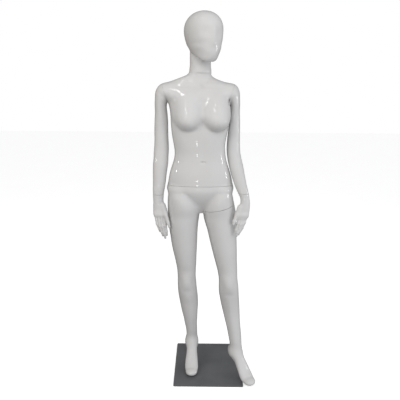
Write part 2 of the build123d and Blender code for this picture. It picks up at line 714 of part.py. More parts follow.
with BuildPart() as neck_washer:
    add(rod_between(neck_plane, NECK_TOP, CUP_CEILING, WASHER_RADIUS))
    add(rod_between(neck_plane, NECK_TOP, CUP_CEILING, NECK_PIN + RUNNING), mode=Mode.SUBTRACT)
save(neck_washer, "neck_washer")

# Head: hollow shell closed by a sloping board, around the cup that turns on the neck
CUP_INNER = NECK_RADIUS + CUP_CLEARANCE
CUP_OUTER = CUP_INNER + CUP_WALL
CUP_TOP = CUP_CEILING + CUP_WALL
with BuildPart() as head_shell:
    add(body_form(HEAD_STATIONS, base=head_base))
    add(body_form(HEAD_STATIONS[:-1], inset=HEAD_WALL, base=head_base), mode=Mode.SUBTRACT)
    split(bisect_by=head_seam, keep=Keep.TOP)
    add(rod_between(neck_plane, CUP_START, CUP_TOP, CUP_OUTER + GLUE_GAP), mode=Mode.SUBTRACT)
save(head_shell, "head_shell")

with BuildPart() as head_cup:
    add(rod_between(neck_plane, CUP_START, CUP_TOP, CUP_OUTER))
    split(bisect_by=head_seam, keep=Keep.TOP)
    add(rod_between(neck_plane, CUP_CEILING, CUP_CEILING + CUP_BOSS_HEIGHT, CUP_BOSS_RADIUS))
    add(rod_between(neck_plane, CUP_START, CUP_CEILING, CUP_INNER), mode=Mode.SUBTRACT)
    add(rod_between(neck_plane, CUP_CEILING, CUP_CEILING + CUP_BOSS_HEIGHT, NECK_PIN + RUNNING),
        mode=Mode.SUBTRACT)
save(head_cup, "head_cup")

head_cavity = body_form(HEAD_STATIONS[:-1], inset=HEAD_WALL + GLUE_GAP, base=head_base)
with BuildPart() as head_board:
    add(slab(head_seam, 0, HEAD_BOARD, *HEAD_BOARD_AREA))
    add(head_cavity, mode=Mode.INTERSECT)
    add(rod_between(neck_plane, CUP_START, CUP_TOP, CUP_OUTER + GLUE_GAP), mode=Mode.SUBTRACT)
save(head_board, "head_board")

# Shoulders, arms, wrists and hands of both sides
sides = [
    ("right", right_shoulder_seam, RIGHT_ARM_STATIONS, right_wrist_seam, RIGHT_PALM_STATIONS, RIGHT_FINGERS),
    ("left", left_shoulder_seam, LEFT_ARM_STATIONS, left_wrist_seam, LEFT_PALM_STATIONS, LEFT_FINGERS),
]
for side, shoulder, arm_stations, wrist, palm_stations, fingers in sides:
    board = fixed_board(torso_cavity, shoulder, SHOULDER_FITTING, *SHOULDER_BOARD_AREA)
    save(board, f"{side}_shoulder_board")
    save(socket_fitting(shoulder, SHOULDER_FITTING), f"{side}_shoulder_socket")
    save(fitting_screws(flipped(shoulder), SHOULDER_FITTING), f"{side}_shoulder_socket_screws")

    with BuildPart() as arm_shell:
        add(body_form(arm_stations))
        add(body_form(arm_stations[1:], inset=WALL), mode=Mode.SUBTRACT)
        split(bisect_by=shoulder.offset(HALF_SEAM), keep=Keep.TOP)
        split(bisect_by=wrist.offset(-HALF_SEAM), keep=Keep.BOTTOM)
    save(arm_shell, f"{side}_arm_shell")

    arm_cavity = body_form(arm_stations[1:], inset=WALL + GLUE_GAP)
    save(limb_board(arm_cavity, shoulder, SHOULDER_FITTING), f"{side}_arm_board")
    save(stud_fitting(shoulder, SHOULDER_FITTING), f"{side}_arm_stud")
    save(fitting_screws(shoulder, SHOULDER_FITTING), f"{side}_arm_stud_screws")

    up = flipped(wrist)
    plug_top = HALF_SEAM + WRIST_PLUG_DEPTH
    save(closing_board(arm_cavity, up, HALF_SEAM, plug_top, WRIST_BUSH + RUNNING), f"{side}_wrist_plug")
    with BuildPart() as wrist_bush:
        add(rod_between(up, HALF_SEAM, plug_top, WRIST_BUSH))
        add(rod_between(up, HALF_SEAM, plug_top, WRIST_SHANK + RUNNING), mode=Mode.SUBTRACT)
    save(wrist_bush, f"{side}_wrist_bush")

    with BuildPart() as hand:
        add(body_form(palm_stations))
        for finger in fingers:
            add(digit(finger))
        split(bisect_by=wrist.offset(HALF_SEAM), keep=Keep.TOP)
        add(rod_between(wrist, HALF_SEAM, WRIST_STUD_DEPTH, WRIST_SHANK + RUNNING), mode=Mode.SUBTRACT)
    save(hand, f"{side}_hand")
    with BuildPart() as wrist_stud:
        add(rod_between(wrist, -WRIST_PLUG_DEPTH, WRIST_STUD_DEPTH, WRIST_SHANK))
    save(wrist_stud, f"{side}_wrist_stud")
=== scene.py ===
"""Full body display mannequin: gloss gelcoat figure on a powder-coated steel plate.

The body is one continuous implicit form, in metres. Its sections are read from the CAD shells, anatomy is
added to them, and each separable shell is meshed from that form and cut at its own seam.
"""
import json
import math

import bmesh
import bpy
import numpy as np
from mathutils import Matrix, Quaternion, Vector


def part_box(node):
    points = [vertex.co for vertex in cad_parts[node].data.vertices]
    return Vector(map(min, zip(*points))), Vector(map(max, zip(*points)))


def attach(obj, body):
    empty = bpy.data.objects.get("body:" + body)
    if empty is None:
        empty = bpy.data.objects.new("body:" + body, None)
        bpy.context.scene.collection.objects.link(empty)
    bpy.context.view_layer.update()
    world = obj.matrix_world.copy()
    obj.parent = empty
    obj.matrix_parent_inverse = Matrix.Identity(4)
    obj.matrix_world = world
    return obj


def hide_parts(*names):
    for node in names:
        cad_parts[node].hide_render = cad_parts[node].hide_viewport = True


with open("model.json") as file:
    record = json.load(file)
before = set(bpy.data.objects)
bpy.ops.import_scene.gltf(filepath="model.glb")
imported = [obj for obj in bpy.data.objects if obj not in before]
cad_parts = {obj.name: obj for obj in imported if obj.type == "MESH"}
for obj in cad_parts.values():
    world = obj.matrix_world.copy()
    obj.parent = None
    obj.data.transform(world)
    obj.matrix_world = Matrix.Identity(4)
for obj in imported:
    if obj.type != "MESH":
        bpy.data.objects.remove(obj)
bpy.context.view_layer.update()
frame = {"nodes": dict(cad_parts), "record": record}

SIDES = {"right": -1, "left": 1}

# Mesh steps, metres, and the shifts of the grid tried until a mesh is clean
BODY_STEP = 0.0042
ARM_STEP = BODY_STEP * 0.8
HEAD_STEP = 0.0034
HAND_STEP = 0.0017
GRID_NUDGES = (0, 0.31, 0.57, 0.83)
GRID_BATCH = 150000
GRID_MARGIN = 0.016
HAND_MARGIN = 0.008
SOLE_HEIGHT = 0.004
PROBE_STEP = 0.0004
SETTLE_ROUNDS = 3
LEAST_SLOPE = 0.15
LONGEST_PUSH = 0.003
EVENING = 0.6
CREASE_ANGLE = math.radians(38)

# Seams, repeated from the CAD's planes
WAIST_TILT = math.radians(4)
WAIST_POINT = np.array([-0.047, 0.0, 0.998])
WAIST_NORMAL = np.array([0.0, math.sin(WAIST_TILT), math.cos(WAIST_TILT)])
HALF_SEAM = 0.0005
HALF_SHOULDER_SEAM = 0.0002
HALF_THIGH_SEAM = 0.0008
ARM_TILT = math.radians(18)
LEG_TILT = math.radians(13)
LEG_SEAM_POINT = np.array([0.048, 0.008, 0.8915])
LEG_SEAM_NORMAL = np.array([math.sin(LEG_TILT), 0.0, -math.cos(LEG_TILT)])
SHOULDER_SEAMS = {
    "right": (np.array([-0.205, 0.012, 1.405]), np.array([-math.cos(ARM_TILT), 0.0, -math.sin(ARM_TILT)])),
    "left": (np.array([0.087, 0.012, 1.408]), np.array([math.cos(ARM_TILT), 0.0, -math.sin(ARM_TILT)])),
}
WRIST_HEIGHT = {"right": 0.953, "left": 0.966}
ARMPIT_HEIGHT = {"right": 1.380, "left": 1.368}
RIM_WIDTH = 0.004
RIM_DEPTH = 0.010

# Boxes cut away outboard of the seams: reach below and above the seam's point, width, depth
SHOULDER_CUT_TOP = 0.115
SHOULDER_CUT_SIZE = (0.22, 0.12)
THIGH_CUT_ENDS = (-0.086, 0.176)
THIGH_CUT_SIZE = (0.30, 0.12)

# Trunk stations: height, right, left, front, back
TRUNK_HEIGHTS = (0.975, 1.010, 1.030, 1.060, 1.090, 1.120, 1.150, 1.185, 1.220, 1.255, 1.290, 1.320, 1.350)
CROTCH_ROWS = [
    (0.869, -0.064, -0.024, -0.036, 0.040),
    (0.886, -0.082, -0.006, -0.048, 0.062),
    (0.905, -0.108, 0.020, -0.060, 0.080),
    (0.925, -0.142, 0.052, -0.073, 0.090),
    (0.948, -0.180, 0.088, -0.085, 0.094),
]
ARMPIT_ROW = (1.376, -0.197, 0.086, -0.091, 0.099)
GIRDLE_HEIGHTS = (1.422, 1.436)
GIRDLE_SPARE = 0.013
NECK_ROWS = [
    (1.452, -0.224, 0.098, -0.046, 0.082),
    (1.466, -0.193, 0.064, -0.040, 0.075),
    (1.484, -0.146, 0.015, -0.036, 0.068),
    (1.498, -0.109, -0.001, -0.035, 0.060),
    (1.514, -0.0965, -0.0035, -0.0350, 0.0555),
]
FLANK_EDGE = {1.220: 0.0722, 1.255: 0.0790, 1.290: 0.0822, 1.320: 0.0833, 1.350: 0.0856}
TRUNK_SHAPE = {"squareness": 2.25, "domes": (0.012, 0.05), "soften": 0.02}

# The chest under the bust is shallower than the CAD's sections
BUST_DEPTH = 0.034
BUST_HEIGHT = 1.300
BUST_REACH = 0.150

# Neck tube
NECK_CENTRE = np.array([-0.050, 0.010, 0.0])
NECK_RADIUS = 0.047
NECK_TOP = 1.612
NECK_MIDDLE = 1.56
NECK_BLEND = 0.012
NECK_BLEND_FADE = (1.500, 1.560)

# Breasts: a round cup with a long slope above it
BREASTS = {"right": (-0.100, -0.058), "left": (0.026, -0.060)}
BREAST_HEIGHT = 1.297
CUP_RADII = (0.054, 0.058, 0.046)
SLOPE_SHIFT = (0.006, 0.016, 0.042)
SLOPE_RADII = (0.046, 0.052, 0.064)
SLOPE_BLEND = 0.03
BREAST_BLEND = 0.010
BREAST_BLEND_GROWTH = 0.034
BREAST_FOLD = (BREAST_HEIGHT - 0.035, BREAST_HEIGHT + 0.03)

# Buttocks, collarbones and shoulder blades
BUTTOCK_MIDDLE = -0.043
BUTTOCK_SPREAD = 0.072
BUTTOCK_DEPTH = 0.048
BUTTOCK_HEIGHT = 0.903
BUTTOCK_RADII = (0.074, 0.066, 0.072)
BUTTOCK_BLEND = 0.032
COLLARBONES = {
    "right": ((-0.060, -0.036, 1.452, 0.004), (-0.181, -0.018, 1.446, 0.004)),
    "left": ((-0.020, -0.036, 1.452, 0.004), (0.069, -0.018, 1.446, 0.004)),
}
COLLARBONE_SINK = 0.0015
COLLARBONE_BLEND = 0.020
BLADE_DENTS = {"right": [(-0.004, -0.125, 0.075, 1.335, 0.10)], "left": [(-0.004, 0.025, 0.075, 1.335, 0.10)]}
BLADE_FADE = (0.02, 0.07)

# Furrows down the trunk: depth, middle, width, where the lower and upper ends fade in
FRONT_FADE = (0.0, -0.05)
BACK_FADE = (0.0, 0.05)
BACK_FURROWS = [
    (0.012, -0.047, 0.020, (0.80, 0.82), (0.975, 0.93)),
    (0.005, -0.047, 0.034, (0.97, 1.03), (1.44, 1.34)),
]
FRONT_FURROWS = [
    (0.004, -0.037, 0.030, (1.24, 1.29), (1.42, 1.36)),
    (0.0015, -0.034, 0.026, (1.08, 1.14), (1.25, 1.2)),
]

# Dents in the trunk's front, navel, its hood and the throat: depth, middle, width, height, reach
FRONT_DENTS = [
    (0.0075, -0.034, 0.018, 1.1145, 0.0070),
    (-0.0010, -0.034, 0.022, 1.1205, 0.0080),
    (0.003, -0.040, 0.026, 1.458, 0.022),
]

# Groin creases, which run outwards as they rise
GROIN_MIDDLE = -0.044
GROIN_START = (0.020, 0.870)
GROIN_SLOPE = 0.52
GROIN_FURROW = [(0.004, 0.0, 0.028, (0.865, 0.885), (1.0, 0.93))]

# Leg stations: height, right, left, front, back; the listed ones lead the thigh into the hip
LEG_HEIGHTS = tuple(np.arange(0.120, 0.851, 0.0365))
LEG_SHELLS = {"right": "hip_leg_shell", "left": "left_leg_shell"}
HIP_ROWS = {
    "right": [
        (0.895, -0.2040, -0.048, -0.093, 0.096),
        (0.925, -0.2030, -0.060, -0.094, 0.084),
        (0.950, -0.2000, -0.078, -0.090, 0.064),
        (0.974, -0.1940, -0.102, -0.078, 0.030),
    ],
    "left": [
        (0.895, -0.032, 0.1195, -0.093, 0.096),
        (0.925, -0.022, 0.1125, -0.094, 0.084),
        (0.950, -0.006, 0.1070, -0.090, 0.064),
        (0.974, 0.014, 0.0990, -0.078, 0.030),
    ],
}
LEG_SHAPE = {"squareness": 2.08, "domes": (0.03, 0.03), "soften": 0.03}
LEG_SPAN = (0.12, 0.96)
LEG_TURN = (0.005, 0.03)

# Knee, shin and heel tendon, as dents and furrows beside the leg's middle
KNEE_DENTS = [
    (-0.0035, 0.0, 0.060, 0.507, 0.062),
    (0.002, 0.0, 0.055, 0.452, 0.034),
    (0.002, 0.0, 0.060, 0.567, 0.050),
    (0.002, 0.030, 0.020, 0.497, 0.060),
    (0.002, -0.030, 0.020, 0.497, 0.060),
]
KNEE_HOLLOW = [(0.004, 0.0, 0.040, 0.500, 0.075)]
SHIN_FURROW = [(-0.0018, -0.004, 0.024, (0.16, 0.2), (0.44, 0.40))]
TENDON_FURROW = [(-0.002, 0.0, 0.018, (0.10, 0.13), (0.24, 0.19))]

# Foot stations: distance from the heel, half width, sole, instep
FOOT_TABLE = np.array([
    (0.014, 0.0235, 0.0755, 0.137),
    (0.030, 0.0285, 0.0715, 0.147),
    (0.050, 0.0285, 0.0670, 0.147),
    (0.075, 0.0272, 0.0560, 0.130),
    (0.100, 0.0290, 0.0400, 0.103),
    (0.125, 0.0330, 0.0225, 0.078),
    (0.145, 0.0345, 0.0115, 0.058),
    (0.160, 0.0330, 0.0088, 0.048),
    (0.172, 0.0300, 0.0088, 0.041),
])
FOOT_SHAPE = {"squareness": 2.15, "domes": (0.014, 0.033), "soften": 0.02}
FEET = {
    "right": (np.array([-0.086, 0.084, 0.0]), np.array([0.0, -1.0, 0.0])),
    "left": (np.array([0.122, -0.009, 0.004]), np.array([0.47, -0.88, 0.0])),
}
FOOT_BLEND = 0.022
ANKLES = ((1, 0.118), (-1, 0.128))
ANKLE_AHEAD = 0.046
ANKLE_SPREAD = -0.0235
ANKLE_RADII = (0.0070, 0.0085, 0.0100)
ANKLE_BLEND = 0.010
ARCH_DEPTH = 0.004
ARCH_PLACE = (0.098, 0.070)
ARCH_SIDE_FADE = (0.0, 0.03)
ARCH_TOP_FADE = (0.075, 0.03)

# Arm stations, with the shoulder caps as listed rows: height, right, left, front, back
ARM_HEIGHTS = {"right": np.arange(0.962, 1.346, 0.0275), "left": np.arange(0.974, 1.346, 0.0265)}
PALM_HEIGHTS = (0.864, 0.880, 0.900, 0.920, 0.940)
CAP_ROWS = {
    "right": [(1.376, -0.2575, -0.200, -0.036, 0.058), (1.402, -0.2555, -0.186, -0.040, 0.062)],
    "left": [(1.376, 0.083, 0.1325, -0.034, 0.058), (1.404, 0.063, 0.1305, -0.040, 0.062)],
}
ARM_SHAPE = {"squareness": 2.15, "domes": (0.020, 0.052), "soften": 0.022}
ARM_SPAN = (0.86, 1.39)
ELBOW_DENTS = [(-0.0022, 0.0, 0.030, 1.150, 0.040)]
ELBOW_FADE = (0.0, 0.02)
CROOK_DENTS = [(0.0015, 0.0, 0.040, 1.160, 0.050)]
CROOK_FADE = (0.0, -0.02)
WRIST_BONE = {"size": -0.0014, "out": 0.020, "width": 0.014, "rise": 0.022, "reach": 0.024}
DELTOID_DEPTH = 0.0012
DELTOID_PLACE = (1.335, 0.055)
DELTOID_FADE = (0.0, 0.025)

# Fingers: knuckle, middle joint, last joint and tip as (x, y, z, radius), thumb first
FINGERS = {
    "right": [
        [(-0.223, -0.038, 0.900, 0.0120), (-0.2095, -0.051, 0.858, 0.0096), (-0.1975, -0.0605, 0.820, 0.0076),
         (-0.1935, -0.0630, 0.802, 0.0054)],
        [(-0.2190, -0.043, 0.852, 0.0080), (-0.2140, -0.050, 0.806, 0.0072), (-0.2085, -0.049, 0.774, 0.0064),
         (-0.2065, -0.045, 0.755, 0.0050)],
        [(-0.2325, -0.045, 0.852, 0.0082), (-0.2255, -0.052, 0.800, 0.0074), (-0.2175, -0.050, 0.761, 0.0066),
         (-0.2140, -0.046, 0.740, 0.0050)],
        [(-0.2460, -0.045, 0.852, 0.0080), (-0.2385, -0.051, 0.803, 0.0070), (-0.2295, -0.048, 0.771, 0.0062),
         (-0.2255, -0.044, 0.752, 0.0048)],
        [(-0.2585, -0.043, 0.852, 0.0074), (-0.2515, -0.048, 0.812, 0.0064), (-0.2425, -0.046, 0.787, 0.0056),
         (-0.2395, -0.043, 0.773, 0.0045)],
    ],
    "left": [
        [(0.1400, -0.065, 0.903, 0.0120), (0.1260, -0.074, 0.868, 0.0098), (0.1140, -0.081, 0.838, 0.0078),
         (0.1105, -0.083, 0.825, 0.0058)],
        [(0.1415, -0.069, 0.864, 0.0076), (0.1335, -0.077, 0.828, 0.0067), (0.1245, -0.080, 0.795, 0.0059),
         (0.1210, -0.078, 0.778, 0.0046)],
        [(0.1515, -0.071, 0.864, 0.0078), (0.1435, -0.080, 0.823, 0.0068), (0.1315, -0.082, 0.784, 0.0060),
         (0.1270, -0.080, 0.765, 0.0046)],
        [(0.1610, -0.070, 0.864, 0.0076), (0.1540, -0.078, 0.825, 0.0066), (0.1415, -0.080, 0.789, 0.0059),
         (0.1365, -0.078, 0.772, 0.0045)],
        [(0.1690, -0.068, 0.864, 0.0070), (0.1630, -0.075, 0.831, 0.0061), (0.1530, -0.076, 0.804, 0.0053),
         (0.1485, -0.074, 0.790, 0.0042)],
    ],
}
FINGER_BLEND = 0.0012
PHALANX_BLEND = 0.004
JOINT_SWELL = 0.0005
JOINT_REACH = 0.009
NAIL_SHARE = 0.75
NAIL_RISE = 1.15
NAIL_WIDTH = 0.78
NAIL_THICKNESS = 0.0035
NAIL_LENGTH = 0.0085
NAIL_EDGE = 0.0005
NAIL_DEPTH = 0.0007
KNUCKLE_BLEND = 0.010
KNUCKLE_SHIFT = np.array([0, -0.008, 0.004])
KNUCKLE_SWELL = 0.0018
KNUCKLE_REACH = 0.009
THUMB_BLEND = 0.009

# How pieces flow together, and how a neighbour's form fades beyond the joint
FADE_SLOPE = 3.0
TIGHT_BLEND = 0.001
SHOULDER_MIDDLE = -0.0585
SHOULDER_BLEND = 0.045
SHOULDER_BLEND_LOSS = 0.033
SHOULDER_RISE = (0.002, 0.055)
SHOULDER_OUTSIDE = (0.150, 0.195)
HIP_BLEND = 0.021
HIP_BLEND_FADE = (0.845, 0.875)
THIGH_LIMIT = 0.86
INNER_THIGH_LIMIT = -0.0375

# Head stations in the head's own axes: height, right, left, front, back
HEAD_TURN = math.radians(27)
HEAD_CENTRE = np.array([-0.038, -0.012, 0.0])
HEAD_AXES = np.array([
    (math.cos(HEAD_TURN), math.sin(HEAD_TURN), 0.0),
    (-math.sin(HEAD_TURN), math.cos(HEAD_TURN), 0.0),
    (0.0, 0.0, 1.0),
])
HEAD_HEIGHTS = (1.605, 1.620, 1.636, 1.652, 1.668, 1.680)
CHIN_ROWS = [
    (1.590, -0.0575, 0.0575, -0.0985, 0.066),
    (1.575, -0.0510, 0.0500, -0.0930, 0.050),
    (1.560, -0.0450, 0.0420, -0.0865, 0.030),
    (1.545, -0.0370, 0.0320, -0.0780, 0.010),
]
HEAD_SHAPE = {"squareness": 2.12, "domes": (0.02, 0.078), "soften": 0.02}

# Faint features of the blank face: nose ridge, eye sockets, chin, lip fold and cheeks
FACE_FADE = (-0.02, -0.07)
FACE_FURROWS = [(-0.0034, 0.0, 0.026, (1.600, 1.625), (1.705, 1.665))]
FACE_DENTS = [
    (0.0022, 0.031, 0.036, 1.664, 0.034),
    (0.0022, -0.031, 0.036, 1.664, 0.034),
    (-0.0020, 0.0, 0.034, 1.572, 0.030),
    (0.0008, 0.0, 0.040, 1.592, 0.018),
    (-0.0012, 0.045, 0.030, 1.640, 0.034),
    (-0.0012, -0.045, 0.030, 1.640, 0.034),
]

# Underside of the head: level under the chin, then rising along the jaw to the nape
JAW_START = -0.066
JAW_LENGTH = 0.118
JAW_SLOPE = 0.45
JAW_HEIGHT = 1.5475
JAW_STEEPNESS = 0.92
JAW_BLEND = 0.014
POCKET_RADIUS = 0.048
POCKET_GAP = 0.001
POCKET_BLEND = 0.0015

# Viewing place: eye height 1.41 m, 1.87 m in front, looking slightly down
CAMERA_PLACE = (-0.0381, -1.8718, 1.4104)
CAMERA_YAW = -0.0052
CAMERA_PITCH = 0.2567
CAMERA_ROLL = 0.0065
CAMERA_LENS = 36
CAMERA_REACH = 50

# Room light, strongest from this direction
ROOM_DIRECTION = (0.42, -0.70, 0.58)
ROOM_SHADE = (0.145, 0.138, 0.130)
ROOM_LIGHT = (0.66, 0.665, 0.68)
FLOOR_SIZE = 14
FLOOR_DROP = 0.0004
FLOOR_GLOW = 0.5

# Lamps in metres and watts: soft ones light the figure without a glint, the others glint in the gloss
LAMPS = {
    "key": {"place": (0.3, -1.9, 2.5), "target": (-0.05, 0, 1.35),
        "width": 1.4, "height": 1.4, "power": 12, "soft": True},
    "fill": {"place": (-2.2, -1.5, 2.2), "target": (-0.05, 0, 1.6),
        "width": 1.2, "height": 1.2, "power": 20, "soft": True, "tint": (1.0, 0.94, 0.86)},
    "side": {"place": (2.4, -1.5, 1.0), "target": (0, 0, 0.8),
        "width": 1.2, "height": 1.8, "power": 17, "soft": True, "tint": (0.95, 0.97, 1.0)},
    "bust_tube": {"place": (-1.0, -1.87, 2.65), "target": (0, -0.1, 1.34),
        "width": 1.3, "height": 0.028, "power": 3.0, "lean": 0.7},
    "shoulder_tube": {"place": (-1.05, -1.0, 3.55), "target": (-0.16, -0.05, 1.43),
        "width": 0.6, "height": 0.032, "power": 2.6, "lean": 1.17},
    "window": {"place": (2.5, -0.25, 1.25), "target": (0.05, -0.05, 1.25),
        "width": 0.22, "height": 0.45, "power": 4},
    "spot_lamp": {"place": (1.56, -1.75, 2.26), "target": (-0.07, -0.1, 1.31),
        "width": 0.1, "height": 0.1, "power": 0.9},
    "hip_lamp": {"place": (-2.54, -0.71, 1.45), "target": (-0.15, -0.06, 1.11),
        "width": 0.1, "height": 0.1, "power": 0.9},
    "low_window": {"place": (-0.23, -2.55, 0.72), "target": (-0.06, -0.08, 1.2),
        "width": 0.12, "height": 0.2, "power": 0.6},
}


# ---------------------------------------------------------------- sections read from the CAD shells
def node_lines(node):
    """Vertex places and edges of a CAD node."""
    item = frame["nodes"][node]
    mesh = item.data
    points = np.empty(len(mesh.vertices) * 3)
    mesh.vertices.foreach_get("co", points)
    edges = np.empty(len(mesh.edges) * 2, dtype=int)
    mesh.edges.foreach_get("vertices", edges)
    turn = np.array(item.matrix_world)
    return points.reshape(-1, 3) @ turn[:3, :3].T + turn[:3, 3], edges.reshape(-1, 2)


def sections(nodes, heights, origin=np.zeros(3), axes=np.eye(3)):
    """Left, right, front and back of the given nodes together, at each height along the third axis."""
    rows = []
    parts = [node_lines(node) for node in nodes]
    for height in heights:
        crossings = []
        for points, edges in parts:
            local = (points - origin) @ axes.T
            start, end = local[edges[:, 0]], local[edges[:, 1]]
            cut = (start[:, 2] - height) * (end[:, 2] - height) < 0
            start, end = start[cut], end[cut]
            share = ((height - start[:, 2]) / (end[:, 2] - start[:, 2]))[:, None]
            crossings.append(start + share * (end - start))
        found = np.vstack(crossings)
        rows.append((height, found[:, 0].min(), found[:, 0].max(), found[:, 1].min(), found[:, 1].max()))
    return np.array(rows)


def smooth_curve(places, values, samples):
    """Cubic through the given values, with slopes from their neighbours."""
    slopes = np.gradient(values, places)
    index = np.clip(np.searchsorted(places, samples) - 1, 0, len(places) - 2)
    span = places[index + 1] - places[index]
    t = np.clip((samples - places[index]) / span, 0, 1)
    low, high = values[index], values[index + 1]
    return (
        (2 * t**3 - 3 * t**2 + 1) * low
        + (t**3 - 2 * t**2 + t) * span * slopes[index]
        + (3 * t**2 - 2 * t**3) * high
        + (t**3 - t**2) * span * slopes[index + 1]
    )


def smoothstep(low, high, value):
    """0 below low, 1 above high, smooth between."""
    t = np.clip((value - low) / (high - low), 0, 1)
    return t * t * (3 - 2 * t)


def hump(centre, reach, value):
    """1 at the centre, 0 beyond reach."""
    return np.exp(-(((value - centre) / (0.5 * reach)) ** 2))


def dents(rows, x, z):
    """Round dents, each (depth, x, width, z, height); a negative depth is a swelling."""
    return sum(
        depth * hump(across, width, x) * hump(up, height, z) for depth, across, width, up, height in rows
    )


def furrows(rows, x, z):
    """Upright furrows, each (depth, x, width, lower fade, upper fade); a negative depth is a ridge."""
    return sum(
        depth * hump(across, width, x) * smoothstep(*low, z) * smoothstep(*high, z)
        for depth, across, width, low, high in rows
    )


def blend(a, b, width):
    """Smooth union of two distances."""
    width = np.maximum(width, 1e-5)
    share = np.clip(0.5 + 0.5 * (b - a) / width, 0, 1)
    return b + (a - b) * share - width * share * (1 - share)


def blend_cut(a, b, width):
    """Smooth intersection of two distances."""
    return -blend(-a, -b, width)


class Profile:
    """A limb with superelliptic sections along an axis, closed by a dome at each end."""

    def __init__(self, rows, squareness, domes, soften, origin=np.zeros(3), axes=np.eye(3)):
        rows = rows[np.argsort(rows[:, 0])]
        self.low, self.high = rows[0, 0], rows[-1, 0]
        self.domes = domes
        self.squareness = squareness
        self.origin = origin
        self.axes = axes
        self.along = np.arange(self.low, self.high + 0.001, 0.001)
        curves = [smooth_curve(rows[:, 0], rows[:, column], self.along) for column in range(1, 5)]
        width = max(int(soften / 0.001) // 2 * 2 + 1, 3)
        kernel = np.hanning(width + 2)
        kernel /= kernel.sum()
        pad = len(kernel) // 2
        self.curves = [np.convolve(np.pad(c, pad, mode="edge"), kernel, mode="valid") for c in curves]

    def edges(self, t):
        return [np.interp(t, self.along, curve) for curve in self.curves]

    def distance(self, points):
        local = (points - self.origin) @ self.axes.T
        along = np.clip(local[:, 2], self.low, self.high)
        left, right, front, back = self.edges(along)
        half_width = (right - left) / 2
        half_depth = (back - front) / 2
        u = np.abs(local[:, 0] - (left + right) / 2) / half_width
        v = np.abs(local[:, 1] - (front + back) / 2) / half_depth
        beyond = local[:, 2] - along
        reach = np.where(beyond > 0, self.domes[1], self.domes[0])
        w = np.abs(beyond) / reach
        n = self.squareness
        radius = np.maximum((u**n + v**n + w**n) ** (1 / n), 1e-4)
        scale = radius ** (1 - n)
        slope = np.sqrt(
            (u ** (n - 1) * scale / half_width) ** 2
            + (v ** (n - 1) * scale / half_depth) ** 2
            + (w ** (n - 1) * scale / reach) ** 2
        )
        return (radius - 1) / np.maximum(slope, 1 / 0.4)


def ellipsoid(points, centre, radii):
    """Distance to an ellipsoid, near its surface."""
    q = (points - np.array(centre)) / np.array(radii)
    radius = np.sqrt((q * q).sum(1)) + 1e-9
    slope = np.sqrt(((q / np.array(radii)) ** 2).sum(1)) / radius
    return (radius - 1) / np.maximum(slope, 1e-3)


def round_cone(points, start, end):
    """Distance to a straight tapering bar with rounded ends; start and end are (x, y, z, radius)."""
    a, b = np.array(start[:3]), np.array(end[:3])
    run = b - a
    share = np.clip(((points - a) @ run) / (run @ run), 0, 1)
    return np.linalg.norm(points - a - share[:, None] * run, axis=1) - (start[3] + (end[3] - start[3]) * share)


# ---------------------------------------------------------------- the body's forms
def trunk_profile():
    """Crotch to neck; the girdle stops short of the arms, which carry the shoulders' outer line."""
    girdle = sections(["torso_shell", "right_arm_shell", "left_arm_shell"], GIRDLE_HEIGHTS)
    girdle[:, 1] += GIRDLE_SPARE
    girdle[:, 2] -= GIRDLE_SPARE
    middle = sections(["hip_leg_shell", "left_leg_shell", "torso_shell"], TRUNK_HEIGHTS)
    rows = np.vstack([CROTCH_ROWS, middle, [ARMPIT_ROW], girdle, NECK_ROWS])
    rows[:, 3] += BUST_DEPTH * hump(BUST_HEIGHT, BUST_REACH, rows[:, 0])
    for height, edge in FLANK_EDGE.items():
        rows[rows[:, 0] == height, 2] = edge
    return Profile(rows, **TRUNK_SHAPE)


def leg_profile(side):
    """Ankle to hip."""
    return Profile(np.vstack([sections([LEG_SHELLS[side]], LEG_HEIGHTS), HIP_ROWS[side]]), **LEG_SHAPE)


def arm_profile(side):
    """Palm to shoulder cap."""
    arm = sections([f"{side}_arm_shell"], ARM_HEIGHTS[side])
    palm = sections([f"{side}_hand"], PALM_HEIGHTS)
    return Profile(np.vstack([arm, palm, CAP_ROWS[side]]), **ARM_SHAPE)


def foot_profile(side):
    """Heel to toes, along the foot."""
    heel, ahead = FEET[side]
    axes = np.array([-np.cross(ahead, (0, 0, 1)), (0, 0, 1), ahead])
    reach, half_width, sole, instep = FOOT_TABLE.T
    rows = np.column_stack([reach, -half_width, half_width, sole, instep])
    return Profile(rows, origin=heel, axes=axes, **FOOT_SHAPE)


def skull_profile():
    """Chin to crown."""
    rows = np.vstack([sections(["head_shell"], HEAD_HEIGHTS, HEAD_CENTRE, HEAD_AXES), CHIN_ROWS])
    return Profile(rows, origin=HEAD_CENTRE, axes=HEAD_AXES, **HEAD_SHAPE)


TRUNK = trunk_profile()
LEGS = {side: leg_profile(side) for side in SIDES}
ARMS = {side: arm_profile(side) for side in SIDES}
FOOT_PROFILES = {side: foot_profile(side) for side in SIDES}
SKULL = skull_profile()


def neck_distance(points, radius):
    """Distance across the neck's axis from a tube of the given radius."""
    return np.hypot(points[:, 0] - NECK_CENTRE[0], points[:, 1] - NECK_CENTRE[1]) - radius


